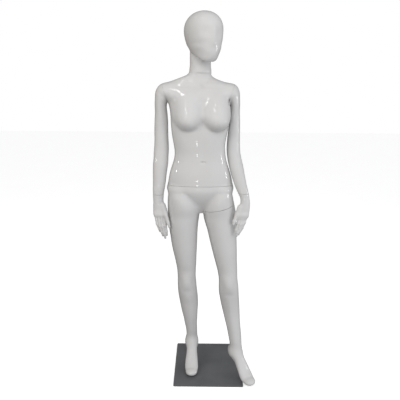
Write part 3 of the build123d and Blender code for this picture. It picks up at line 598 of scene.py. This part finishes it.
def trunk_form(points):
    """Chest, belly, hips and neck with their anatomy."""
    x, y, z = points[:, 0], points[:, 1], points[:, 2]
    neck = neck_distance(points, NECK_RADIUS)
    neck = np.maximum(neck, np.abs(z - NECK_MIDDLE) - (NECK_TOP - NECK_MIDDLE))
    body = blend(TRUNK.distance(points), neck, NECK_BLEND * (1 - smoothstep(*NECK_BLEND_FADE, z)))
    for side, (across, deep) in BREASTS.items():
        out, back, up = SLOPE_SHIFT
        cup = ellipsoid(points, (across, deep, BREAST_HEIGHT), CUP_RADII)
        top = (across + SIDES[side] * out, deep + back, BREAST_HEIGHT + up)
        bust = blend(cup, ellipsoid(points, top, SLOPE_RADII), SLOPE_BLEND)
        body = blend(body, bust, BREAST_BLEND + BREAST_BLEND_GROWTH * smoothstep(*BREAST_FOLD, z))
    for out in SIDES.values():
        place = (BUTTOCK_MIDDLE + out * BUTTOCK_SPREAD, BUTTOCK_DEPTH, BUTTOCK_HEIGHT)
        body = blend(body, ellipsoid(points, place, BUTTOCK_RADII), BUTTOCK_BLEND)
    front, back = smoothstep(*FRONT_FADE, y), smoothstep(*BACK_FADE, y)
    body = body + back * furrows(BACK_FURROWS, x, z)
    body = body + front * (furrows(FRONT_FURROWS, x, z) + dents(FRONT_DENTS, x, z))
    for side, out in SIDES.items():
        collarbone = round_cone(points, *COLLARBONES[side]) + COLLARBONE_SINK
        body = blend(body, collarbone, COLLARBONE_BLEND)
        body = body + smoothstep(*BLADE_FADE, y) * dents(BLADE_DENTS[side], x, z)
        crease = GROIN_MIDDLE + out * (GROIN_START[0] + GROIN_SLOPE * (z - GROIN_START[1]))
        body = body + front * furrows(GROIN_FURROW, x - crease, z)
    return body


def leg_form(points, side):
    """Thigh, knee, calf, ankle and foot of one leg."""
    z = points[:, 2]
    out = SIDES[side]
    heel, ahead = FEET[side]
    leg = blend(LEGS[side].distance(points), FOOT_PROFILES[side].distance(points), FOOT_BLEND)
    left, right, front, back = LEGS[side].edges(np.clip(z, *LEG_SPAN))
    x = points[:, 0] - (left + right) / 2
    y = (front + back) / 2 - points[:, 1]
    before, behind = smoothstep(*LEG_TURN, y), smoothstep(*LEG_TURN, -y)
    leg = leg + before * (dents(KNEE_DENTS, x, z) + furrows(SHIN_FURROW, x * out, z))
    leg = leg + behind * (dents(KNEE_HOLLOW, x, z) + furrows(TENDON_FURROW, x, z))
    for direction, height in ANKLES:
        place = heel + ANKLE_AHEAD * ahead + np.array([0, 0, height])
        place = place + np.array([ahead[1], -ahead[0], 0]) * direction * ANKLE_SPREAD
        leg = blend(leg, ellipsoid(points, place, ANKLE_RADII), ANKLE_BLEND)
    along = (points - heel) @ ahead
    inward = (points - heel) @ np.array([-ahead[1], ahead[0], 0.0]) * -out
    arch = hump(*ARCH_PLACE, along) * smoothstep(*ARCH_SIDE_FADE, inward) * smoothstep(*ARCH_TOP_FADE, z)
    return leg + ARCH_DEPTH * arch


def arm_form(points, side):
    """Upper arm, forearm, wrist and palm of one arm."""
    z = points[:, 2]
    out = SIDES[side]
    left, right, front, back = ARMS[side].edges(np.clip(z, *ARM_SPAN))
    x = points[:, 0] - (left + right) / 2
    y = points[:, 1] - (front + back) / 2
    bone = hump(out * WRIST_BONE["out"], WRIST_BONE["width"], x)
    bone *= hump(WRIST_HEIGHT[side] + WRIST_BONE["rise"], WRIST_BONE["reach"], z)
    deltoid = hump(*DELTOID_PLACE, z) * smoothstep(*DELTOID_FADE, x * out)
    arm = ARMS[side].distance(points) + WRIST_BONE["size"] * bone + DELTOID_DEPTH * deltoid
    arm = arm + smoothstep(*ELBOW_FADE, y) * dents(ELBOW_DENTS, x, z)
    return arm + smoothstep(*CROOK_FADE, y) * dents(CROOK_DENTS, x, z)


def swelling(points, place, size, reach):
    """A soft round swelling about a place."""
    gap = np.linalg.norm(points - np.array(place), axis=1)
    return size * np.exp(-((gap / reach) ** 2))


def digit_form(points, joints):
    """One finger: three tapering phalanges, fuller at the joints, with a nail bed."""
    finger = round_cone(points, joints[0], joints[1])
    for start, end in zip(joints[1:-1], joints[2:]):
        finger = blend(finger, round_cone(points, start, end), PHALANX_BLEND)
    for joint in joints[1:-1]:
        finger = finger - swelling(points, joint[:3], JOINT_SWELL, JOINT_REACH)
    radius = joints[-1][3]
    before, tip = np.array(joints[-2][:3]), np.array(joints[-1][:3])
    place = before * (1 - NAIL_SHARE) + tip * NAIL_SHARE + np.array([0, -radius * NAIL_RISE, 0])
    nail = ellipsoid(points, place, (radius * NAIL_WIDTH, NAIL_THICKNESS, NAIL_LENGTH))
    return finger - NAIL_DEPTH * smoothstep(NAIL_EDGE, -NAIL_EDGE, nail)


def hand_form(points, side):
    """Palm with its knuckles, fingers and thumb."""
    thumb, *others = FINGERS[side]
    hand = arm_form(points, side)
    fingers = digit_form(points, others[0])
    for joints in others[1:]:
        fingers = blend(fingers, digit_form(points, joints), FINGER_BLEND)
    for joints in others:
        hand = hand - swelling(points, joints[0][:3] + KNUCKLE_SHIFT, KNUCKLE_SWELL, KNUCKLE_REACH)
    hand = blend(hand, fingers, KNUCKLE_BLEND)
    return blend(hand, digit_form(points, thumb), THUMB_BLEND)


def shoulder_blend(points, side):
    """How widely arm and torso flow together: wide at the shoulder, nothing below the armpit or outside."""
    low, high = SHOULDER_RISE
    above = smoothstep(ARMPIT_HEIGHT[side] + low, ARMPIT_HEIGHT[side] + high, points[:, 2])
    outside = smoothstep(*SHOULDER_OUTSIDE, np.abs(points[:, 0] - SHOULDER_MIDDLE))
    return TIGHT_BLEND + above * (SHOULDER_BLEND - SHOULDER_BLEND_LOSS * outside)


def hip_blend(points):
    """How widely thighs and trunk flow together."""
    return TIGHT_BLEND + HIP_BLEND * smoothstep(*HIP_BLEND_FADE, points[:, 2])


def fade(values, limit):
    """Added distance that shrinks a form away below a limit."""
    return FADE_SLOPE * np.maximum(limit - values, 0)


def torso_field(points):
    body = trunk_form(points)
    z = points[:, 2]
    for side in SIDES:
        arm = arm_form(points, side) + fade(z, ARMPIT_HEIGHT[side])
        body = blend(body, arm, shoulder_blend(points, side))
    for side in SIDES:
        body = blend(body, leg_form(points, side) + fade(z, THIGH_LIMIT), hip_blend(points))
    return body


def hip_field(points):
    body = blend(trunk_form(points), leg_form(points, "right"), hip_blend(points))
    return blend(body, leg_form(points, "left") + fade(points[:, 2], THIGH_LIMIT), hip_blend(points))


def left_leg_field(points):
    body = blend(trunk_form(points), leg_form(points, "right"), hip_blend(points))
    body = body + fade(points[:, 0], INNER_THIGH_LIMIT)
    return blend(body, leg_form(points, "left"), hip_blend(points))


def arm_field(points, side):
    trunk = trunk_form(points) + fade(points[:, 2], ARMPIT_HEIGHT[side])
    return blend(trunk, arm_form(points, side), shoulder_blend(points, side))


def head_field(points):
    local = (points - HEAD_CENTRE) @ HEAD_AXES.T
    u, v, z = local[:, 0], local[:, 1], local[:, 2]
    face = furrows(FACE_FURROWS, u, z) + dents(FACE_DENTS, u, z)
    body = SKULL.distance(points) + smoothstep(*FACE_FADE, v) * face
    base = JAW_HEIGHT + JAW_SLOPE * np.clip(v - JAW_START, 0, JAW_LENGTH) - z
    body = blend_cut(body, JAW_STEEPNESS * base, JAW_BLEND)
    pocket = np.maximum(neck_distance(points, POCKET_RADIUS), z - (NECK_TOP + POCKET_GAP))
    return blend_cut(body, -pocket, POCKET_BLEND)


# ---------------------------------------------------------------- meshing
EDGE_CORNERS = [
    ((0, 0, 0), (1, 0, 0)), ((0, 1, 0), (1, 1, 0)), ((0, 0, 1), (1, 0, 1)), ((0, 1, 1), (1, 1, 1)),
    ((0, 0, 0), (0, 1, 0)), ((1, 0, 0), (1, 1, 0)), ((0, 0, 1), (0, 1, 1)), ((1, 0, 1), (1, 1, 1)),
    ((0, 0, 0), (0, 0, 1)), ((1, 0, 0), (1, 0, 1)), ((0, 1, 0), (0, 1, 1)), ((1, 1, 0), (1, 1, 1)),
]


def sample_grid(field, low, high, step):
    """Field values on a regular grid, worked out slab by slab."""
    axes = [np.arange(low[i], high[i] + step, step) for i in range(3)]
    shape = tuple(len(axis) for axis in axes)
    values = np.empty(shape)
    across, deep = np.meshgrid(axes[0], axes[1], indexing="ij")
    flat = np.column_stack([across.ravel(), deep.ravel()])
    batch = max(1, GRID_BATCH // len(flat))
    for start in range(0, shape[2], batch):
        heights = axes[2][start:start + batch]
        points = np.column_stack([
            np.repeat(flat, len(heights), axis=0), np.tile(heights, len(flat)),
        ])
        values[:, :, start:start + len(heights)] = field(points).reshape(shape[0], shape[1], len(heights))
    for axis in range(3):
        for end in (0, -1):
            face = [slice(None)] * 3
            face[axis] = end
            values[tuple(face)] = np.maximum(values[tuple(face)], step)
    return values


def surface_net(values, low, step):
    """Quads through the zero level of a grid, one vertex in each crossed cell."""
    inside = values < 0
    shape = np.array(values.shape) - 1

    def corner(array, offset):
        i, j, k = offset
        return array[i:i + shape[0], j:j + shape[1], k:k + shape[2]]

    count = np.zeros(tuple(shape), dtype=int)
    place = np.zeros(tuple(shape) + (3,))
    for first, second in EDGE_CORNERS:
        a, b = corner(values, first), corner(values, second)
        crossed = corner(inside, first) != corner(inside, second)
        share = np.where(crossed, a / np.where(crossed, a - b, 1), 0)
        for axis in range(3):
            step_along = second[axis] - first[axis]
            place[..., axis] += np.where(crossed, first[axis] + share * step_along, 0)
        count += crossed
    active = count > 0
    index = np.full(tuple(shape), -1)
    index[active] = np.arange(active.sum())
    cells = np.argwhere(active)
    vertices = (cells + place[active] / count[active][:, None]) * step + np.array(low)
    quads = []
    for axis in range(3):
        one, two = (axis + 1) % 3, (axis + 2) % 3
        ahead = [slice(1, -1)] * 3
        ahead[axis] = slice(0, shape[axis])
        here = inside[tuple(ahead)]
        shifted = list(ahead)
        shifted[axis] = slice(1, shape[axis] + 1)
        there = inside[tuple(shifted)]
        for sign, mask in ((0, here & ~there), (1, there & ~here)):
            spots = np.argwhere(mask)
            spots[:, one] += 1
            spots[:, two] += 1
            around = []
            for da, db in ((0, 0), (-1, 0), (-1, -1), (0, -1)):
                cell = spots.copy()
                cell[:, one] += da
                cell[:, two] += db
                around.append(index[cell[:, 0], cell[:, 1], cell[:, 2]])
            ring = np.column_stack(around)
            quads.append(ring if sign == 0 else ring[:, ::-1])
    return vertices, np.vstack(quads)


def gradient(field, points, step=PROBE_STEP):
    """Field value and its slope at each point."""
    value = field(points)
    slope = np.empty_like(points)
    for axis in range(3):
        moved = points.copy()
        moved[:, axis] += step
        slope[:, axis] = (field(moved) - value) / step
    return value, slope


def settle(field, vertices, quads):
    """Evens the mesh and pulls every vertex onto the true surface."""
    pairs = np.vstack([quads[:, [i, (i + 1) % 4]] for i in range(4)])
    for turn in range(SETTLE_ROUNDS):
        value, slope = gradient(field, vertices)
        size = np.maximum((slope * slope).sum(1), LEAST_SLOPE)
        push = slope * (value / size)[:, None]
        length = np.linalg.norm(push, axis=1, keepdims=True)
        push *= np.minimum(1, LONGEST_PUSH / np.maximum(length, 1e-9))
        vertices = vertices - push
        if turn == SETTLE_ROUNDS - 1:
            break
        total = np.zeros_like(vertices)
        count = np.zeros(len(vertices))
        for a, b in ((0, 1), (1, 0)):
            np.add.at(total, pairs[:, a], vertices[pairs[:, b]])
            np.add.at(count, pairs[:, a], 1)
        vertices = (1 - EVENING) * vertices + EVENING * total / count[:, None]
    return vertices


def form_mesh(field, low, high, step):
    """A bmesh of the field's surface inside a box, on the first grid that gives a clean mesh."""
    for nudge in GRID_NUDGES:
        start = low - nudge * step
        vertices, quads = surface_net(sample_grid(field, start, high, step), start, step)
        pairs = np.sort(np.vstack([quads[:, [i, (i + 1) % 4]] for i in range(4)]), axis=1)
        if np.unique(pairs, axis=0, return_counts=True)[1].max() == 2:
            break
    vertices = settle(field, vertices, quads)
    mesh = bpy.data.meshes.new("form")
    mesh.from_pydata(vertices.tolist(), [], quads.tolist())
    form = bmesh.new()
    form.from_mesh(mesh)
    bpy.data.meshes.remove(mesh)
    bmesh.ops.recalc_face_normals(form, faces=form.faces)
    return form


def cut_flat(form, point, normal, gap=HALF_SEAM, mouth=None):
    """Cuts a form across a seam, keeps the side against the normal, closes it and shapes its mouth."""
    place = Vector(point - normal * gap)
    everything = list(form.verts) + list(form.edges) + list(form.faces)
    bmesh.ops.bisect_plane(form, geom=everything, plane_co=place, plane_no=Vector(normal), clear_outer=True)
    rims = [edge for edge in form.edges if edge.is_boundary]
    made = bmesh.ops.edgeloop_fill(form, edges=rims)["faces"]
    if mouth:
        mouth(form, made)


def open_mouth(form, caps):
    """Turns flat end faces into a shell rim around a shallow recess, which the CAD's board fills."""
    for cap in caps:
        cap.smooth = False
    bmesh.ops.recalc_face_normals(form, faces=form.faces)
    bmesh.ops.inset_region(form, faces=caps, thickness=RIM_WIDTH, use_even_offset=True, use_boundary=True)
    sink_faces(form, caps)


def board_mouth(form, caps):
    """Turns flat end faces into a shell rim around a closing board of the form's own."""
    bmesh.ops.recalc_face_normals(form, faces=form.faces)
    bmesh.ops.inset_region(form, faces=caps, thickness=RIM_WIDTH, use_even_offset=True, use_boundary=True)
    for cap in caps:
        cap.material_index = 1


def sink_faces(form, caps):
    """Pushes flat faces inwards by the rim's depth, with straight walls."""
    for cap in caps:
        inward = -cap.normal * RIM_DEPTH
        grown = bmesh.ops.extrude_face_region(form, geom=[cap])["geom"]
        moved = [item for item in grown if isinstance(item, bmesh.types.BMVert)]
        bmesh.ops.translate(form, verts=moved, vec=inward)
        if cap.is_valid:
            form.faces.remove(cap)


def seam_faces(form, point, normal, gap):
    """The flat faces that lie on a seam."""
    place = Vector(point - normal * gap)
    across = Vector(normal)
    return [
        face for face in form.faces
        if abs(face.normal.dot(across)) > 0.999
        and all(abs((vert.co - place).dot(across)) < 0.00002 for vert in face.verts)
    ]


def finish_piece(form, name, body, nodes):
    """Turns a finished form into a piece that rides on a body and stands for its CAD nodes."""
    bmesh.ops.recalc_face_normals(form, faces=form.faces)
    for face in form.faces:
        face.smooth = len(face.verts) < 5
    for edge in form.edges:
        if len(edge.link_faces) == 2 and edge.calc_face_angle(0) > CREASE_ANGLE:
            edge.smooth = False
    mesh = bpy.data.meshes.new(name)
    form.to_mesh(mesh)
    form.free()
    mesh.materials.append(GELCOAT)
    mesh.materials.append(BOARD)
    piece = bpy.data.objects.new(name, mesh)
    bpy.context.scene.collection.objects.link(piece)
    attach(piece, body)
    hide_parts(*nodes)
    return piece


def carve(form, point, up, normal, gap, ends, size):
    """Cuts a box outboard of a seam out of a form, between two ends measured along the seam from its point."""
    side = np.cross(up, normal)
    width, depth = size
    centre = point + up * (ends[0] + ends[1]) / 2 + normal * (depth / 2 - gap)
    host_mesh = bpy.data.meshes.new("host")
    form.to_mesh(host_mesh)
    form.free()
    host = bpy.data.objects.new("host", host_mesh)
    tool_form = bmesh.new()
    turn = Matrix(np.array((side, up, normal)).T.tolist()).to_4x4()
    turn.translation = Vector(centre)
    stretch = Matrix.Diagonal((width, ends[1] - ends[0], depth, 1.0))
    bmesh.ops.create_cube(tool_form, size=1.0, matrix=turn @ stretch)
    tool_mesh = bpy.data.meshes.new("tool")
    tool_form.to_mesh(tool_mesh)
    tool_form.free()
    tool = bpy.data.objects.new("tool", tool_mesh)
    for item in (host, tool):
        bpy.context.scene.collection.objects.link(item)
    cut = host.modifiers.new("cut", "BOOLEAN")
    cut.operation = "DIFFERENCE"
    cut.solver = "EXACT"
    cut.object = tool
    graph = bpy.context.evaluated_depsgraph_get()
    result = bmesh.new()
    result.from_mesh(host.evaluated_get(graph).to_mesh())
    for item, data in ((host, host_mesh), (tool, tool_mesh)):
        bpy.data.objects.remove(item)
        bpy.data.meshes.remove(data)
    return result


# ---------------------------------------------------------------- materials
def new_material(name):
    material = bpy.data.materials.new(name)
    material.use_nodes = True
    nodes, links = material.node_tree.nodes, material.node_tree.links
    return material, nodes, links, nodes["Principled BSDF"]


def noise_value(nodes, links, scale, detail=4.0):
    """Object-space noise."""
    place = nodes.new("ShaderNodeTexCoord")
    noise = nodes.new("ShaderNodeTexNoise")
    noise.inputs["Scale"].default_value = scale
    noise.inputs["Detail"].default_value = detail
    links.new(place.outputs["Object"], noise.inputs["Vector"])
    return noise.outputs["Fac"]


def ramp_color(nodes, links, source, low, high, start=0.3, end=0.7):
    """Colour running from one value to another."""
    ramp = nodes.new("ShaderNodeValToRGB")
    for element, position, color in zip(ramp.color_ramp.elements, (start, end), (low, high)):
        element.position = position
        element.color = (*color, 1)
    links.new(source, ramp.inputs["Fac"])
    return ramp.outputs["Color"]


def map_range(nodes, links, source, **values):
    """A value moved to another range."""
    spread = nodes.new("ShaderNodeMapRange")
    for name, value in values.items():
        spread.inputs[name.replace("_", " ")].default_value = value
    links.new(source, spread.inputs["Value"])
    return spread.outputs["Result"]


def surface(name, tint, rough, relief, constants=()):
    """A procedural surface.

    tint is (noise scale, dark, light), rough is (noise scale, low, high) and relief is
    (noise scale, noise detail, strength, distance).
    """
    material, nodes, links, shader = new_material(name)
    color = ramp_color(nodes, links, noise_value(nodes, links, tint[0]), *tint[1:])
    links.new(color, shader.inputs["Base Color"])
    scale, low, high = rough
    roughness = map_range(nodes, links, noise_value(nodes, links, scale), To_Min=low, To_Max=high)
    links.new(roughness, shader.inputs["Roughness"])
    scale, detail, strength, distance = relief
    bump = nodes.new("ShaderNodeBump")
    bump.inputs["Strength"].default_value = strength
    bump.inputs["Distance"].default_value = distance
    links.new(noise_value(nodes, links, scale, detail), bump.inputs["Height"])
    links.new(bump.outputs["Normal"], shader.inputs["Normal"])
    for socket, value in constants:
        shader.inputs[socket].default_value = value
    return material


# White gelcoat: even colour with faint handling marks, slight orange peel and a hard gloss
GELCOAT = surface(
    "gelcoat", (7.0, (0.600, 0.594, 0.584), (0.630, 0.627, 0.622)), (32.0, 0.34, 0.46),
    (210.0, 2.0, 0.03, 0.0004),
    (("IOR", 1.5), ("Coat Weight", 1.0), ("Coat Roughness", 0.02)),
)
# Sealed pale board with fine grain
BOARD = surface(
    "board", (60.0, (0.52, 0.44, 0.33), (0.64, 0.57, 0.46)), (60.0, 0.55, 0.75), (60.0, 4.0, 0.2, 0.0005),
)
# Dark grey powder coat: fine texture and faint dust
POWDER_COAT = surface(
    "powder_coat", (9.0, (0.098, 0.102, 0.106), (0.128, 0.132, 0.138)), (9.0, 0.30, 0.42),
    (900.0, 2.0, 0.15, 0.0003),
)
# Bright zinc plating with light brushing
ZINC_STEEL = surface(
    "zinc_steel", (240.0, (0.56, 0.57, 0.58), (0.70, 0.71, 0.72)), (240.0, 0.2, 0.34),
    (240.0, 4.0, 0.08, 0.0003),
    (("Metallic", 1.0),),
)
MOULDED_RELIEF = (80.0, 4.0, 0.1, 0.0003)
SLOT_MATERIALS = {
    "shell_gloss": GELCOAT,
    "board_wood": BOARD,
    "plate_steel": POWDER_COAT,
    "fitting_steel": ZINC_STEEL,
    "cup_plastic": surface(
        "cup_plastic", (80.0, (0.60, 0.60, 0.59), (0.66, 0.66, 0.65)), (80.0, 0.25, 0.4), MOULDED_RELIEF,
    ),
    "pad_rubber": surface(
        "pad_rubber", (80.0, (0.02, 0.02, 0.02), (0.04, 0.04, 0.04)), (80.0, 0.7, 0.85), MOULDED_RELIEF,
    ),
    "washer_nylon": surface(
        "washer_nylon", (80.0, (0.62, 0.62, 0.58), (0.7, 0.7, 0.66)), (80.0, 0.35, 0.5), MOULDED_RELIEF,
    ),
}
for subpart in frame["record"]["subparts"]:
    node = frame["nodes"][subpart["node"]]
    node.data.materials.clear()
    node.data.materials.append(SLOT_MATERIALS[subpart["material_slot"]])


# ---------------------------------------------------------------- camera, light and floor
def build_camera():
    """The viewing place."""
    yaw, pitch, roll = CAMERA_YAW, CAMERA_PITCH, CAMERA_ROLL
    forward = Vector((math.sin(yaw) * math.cos(pitch), math.cos(yaw) * math.cos(pitch), -math.sin(pitch)))
    up = Vector((math.sin(yaw) * math.sin(pitch), math.cos(yaw) * math.sin(pitch), math.cos(pitch)))
    side = Vector((math.cos(yaw), -math.sin(yaw), 0))
    right = side * math.cos(roll) + up * math.sin(roll)
    upright = up * math.cos(roll) - side * math.sin(roll)
    data = bpy.data.cameras.new("camera")
    data.sensor_width = 36
    data.lens = CAMERA_LENS
    data.clip_end = CAMERA_REACH
    camera = bpy.data.objects.new("camera", data)
    turn = Matrix((right, upright, -forward)).transposed().to_4x4()
    turn.translation = Vector(CAMERA_PLACE)
    camera.matrix_world = turn
    bpy.context.scene.collection.objects.link(camera)
    bpy.context.scene.camera = camera


def area_light(name, place, target, width, height, power, soft=False, tint=(1, 1, 1), lean=0.0):
    """A rectangular lamp aimed at a target and turned about its aim; a soft one gives no glint."""
    data = bpy.data.lights.new(name, "AREA")
    data.shape = "RECTANGLE"
    data.size = width
    data.size_y = height
    data.energy = power
    data.color = tint
    light = bpy.data.objects.new(name, data)
    light.location = place
    light.rotation_mode = "QUATERNION"
    aim = (Vector(target) - Vector(place)).to_track_quat("-Z", "Y")
    light.rotation_quaternion = aim @ Quaternion((0, 0, 1), lean)
    light.visible_glossy = not soft
    bpy.context.scene.collection.objects.link(light)


def room_light():
    """Soft room light: strong from the front, above and the figure's left, weak from below and behind."""
    world = bpy.data.worlds.new("room")
    world.use_nodes = True
    nodes, links = world.node_tree.nodes, world.node_tree.links
    place = nodes.new("ShaderNodeTexCoord")
    facing = nodes.new("ShaderNodeVectorMath")
    facing.operation = "DOT_PRODUCT"
    facing.inputs[1].default_value = ROOM_DIRECTION
    links.new(place.outputs["Generated"], facing.inputs[0])
    share = map_range(nodes, links, facing.outputs["Value"], From_Min=-1, From_Max=1)
    light = nodes["Background"]
    links.new(ramp_color(nodes, links, share, ROOM_SHADE, ROOM_LIGHT, 0.0, 1.0), light.inputs["Color"])
    seen = nodes.new("ShaderNodeBackground")
    seen.inputs["Color"].default_value = (1, 1, 1, 1)
    ray = nodes.new("ShaderNodeLightPath")
    mix = nodes.new("ShaderNodeMixShader")
    links.new(ray.outputs["Is Camera Ray"], mix.inputs["Fac"])
    links.new(light.outputs["Background"], mix.inputs[1])
    links.new(seen.outputs["Background"], mix.inputs[2])
    links.new(mix.outputs["Shader"], nodes["World Output"].inputs["Surface"])
    bpy.context.scene.world = world


def build_floor():
    """A pale floor, faintly glowing like the background, that leaves the figure's own light alone."""
    form = bmesh.new()
    bmesh.ops.create_grid(form, x_segments=24, y_segments=24, size=FLOOR_SIZE)
    mesh = bpy.data.meshes.new("floor")
    form.to_mesh(mesh)
    form.free()
    floor = bpy.data.objects.new("floor", mesh)
    floor.location.z = -FLOOR_DROP
    floor.visible_diffuse = False
    floor.visible_glossy = False
    material, nodes, links, shader = new_material("floor")
    tint = ramp_color(nodes, links, noise_value(nodes, links, 2.0), (0.93, 0.93, 0.93), (0.95, 0.95, 0.95))
    links.new(tint, shader.inputs["Base Color"])
    shader.inputs["Roughness"].default_value = 0.8
    shader.inputs["Emission Color"].default_value = (1, 1, 1, 1)
    shader.inputs["Emission Strength"].default_value = FLOOR_GLOW
    mesh.materials.append(material)
    bpy.context.scene.collection.objects.link(floor)


def build_studio():
    """Room light, lamps and floor."""
    room_light()
    for name, lamp in LAMPS.items():
        area_light(name, **lamp)
    bpy.context.scene.view_settings.view_transform = "Standard"
    build_floor()


# ---------------------------------------------------------------- pieces
def piece_form(field, node, step, below=(0, 0, 0), above=(0, 0, 0), margin=GRID_MARGIN, lowest=-1.0):
    """The field's surface around one CAD node, with extra room below and above its box."""
    low, high = (np.array(tuple(corner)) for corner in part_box(node))
    low = low - margin - below
    low[2] = max(low[2], lowest)
    return form_mesh(field, low, high + margin + above, step)


def build_torso():
    form = piece_form(torso_field, "torso_shell", BODY_STEP, (0.03, 0, 0.012), (0.03, 0, 0.004))
    for side, (point, normal) in SHOULDER_SEAMS.items():
        up = np.array([-normal[2] * np.sign(normal[0]), 0.0, abs(normal[0])])
        ends = ((ARMPIT_HEIGHT[side] - point[2]) / up[2], SHOULDER_CUT_TOP)
        form = carve(form, point, up, normal, HALF_SHOULDER_SEAM, ends, SHOULDER_CUT_SIZE)
        board_mouth(form, seam_faces(form, point, normal, HALF_SHOULDER_SEAM))
    cut_flat(form, WAIST_POINT, -WAIST_NORMAL, mouth=open_mouth)
    return finish_piece(form, "torso", "torso", ["torso_shell", "right_shoulder_board", "left_shoulder_board"])


def build_hips():
    form = piece_form(hip_field, "hip_leg_shell", BODY_STEP, lowest=SOLE_HEIGHT)
    outward = np.array([-LEG_SEAM_NORMAL[2], 0.0, LEG_SEAM_NORMAL[0]])
    point, normal = LEG_SEAM_POINT, LEG_SEAM_NORMAL
    form = carve(form, point, outward, normal, HALF_THIGH_SEAM, THIGH_CUT_ENDS, THIGH_CUT_SIZE)
    board_mouth(form, seam_faces(form, point, normal, HALF_THIGH_SEAM))
    cut_flat(form, WAIST_POINT, WAIST_NORMAL, mouth=open_mouth)
    return finish_piece(form, "hips_and_right_leg", "root", ["hip_leg_shell", "pelvis_thigh_board"])


def build_left_leg():
    form = piece_form(left_leg_field, "left_leg_shell", BODY_STEP, above=(0, 0, 0.03))
    cut_flat(form, LEG_SEAM_POINT, -LEG_SEAM_NORMAL, HALF_THIGH_SEAM, board_mouth)
    return finish_piece(form, "left_leg", "left_leg", ["left_leg_shell", "left_leg_board"])


def build_arm(side):
    inner = 0.02
    below, above = (inner if side == "left" else 0, 0, 0.01), (inner if side == "right" else 0, 0, 0)
    form = piece_form(lambda points: arm_field(points, side), f"{side}_arm_shell", ARM_STEP, below, above)
    point, normal = SHOULDER_SEAMS[side]
    cut_flat(form, point, -normal, HALF_SHOULDER_SEAM, board_mouth)
    cut_flat(form, np.array([0, 0, WRIST_HEIGHT[side]]), np.array([0, 0, -1.0]), mouth=open_mouth)
    return finish_piece(form, f"{side}_arm", f"{side}_arm", [f"{side}_arm_shell", f"{side}_arm_board"])


def build_hand(side):
    above = (0, 0, 0.006)
    form = piece_form(
        lambda points: hand_form(points, side), f"{side}_hand", HAND_STEP, above=above, margin=HAND_MARGIN,
    )
    cut_flat(form, np.array([0, 0, WRIST_HEIGHT[side]]), np.array([0, 0, 1.0]))
    return finish_piece(form, f"{side}_hand_shell", f"{side}_hand", [f"{side}_hand"])


def build_head():
    form = piece_form(head_field, "head_shell", HEAD_STEP, below=(0, 0, 0.01))
    return finish_piece(form, "head", "head", ["head_shell", "head_board", "head_cup"])


build_camera()
build_studio()
build_torso()
build_hips()
build_left_leg()
for side in SIDES:
    build_arm(side)
    build_hand(side)
build_head()
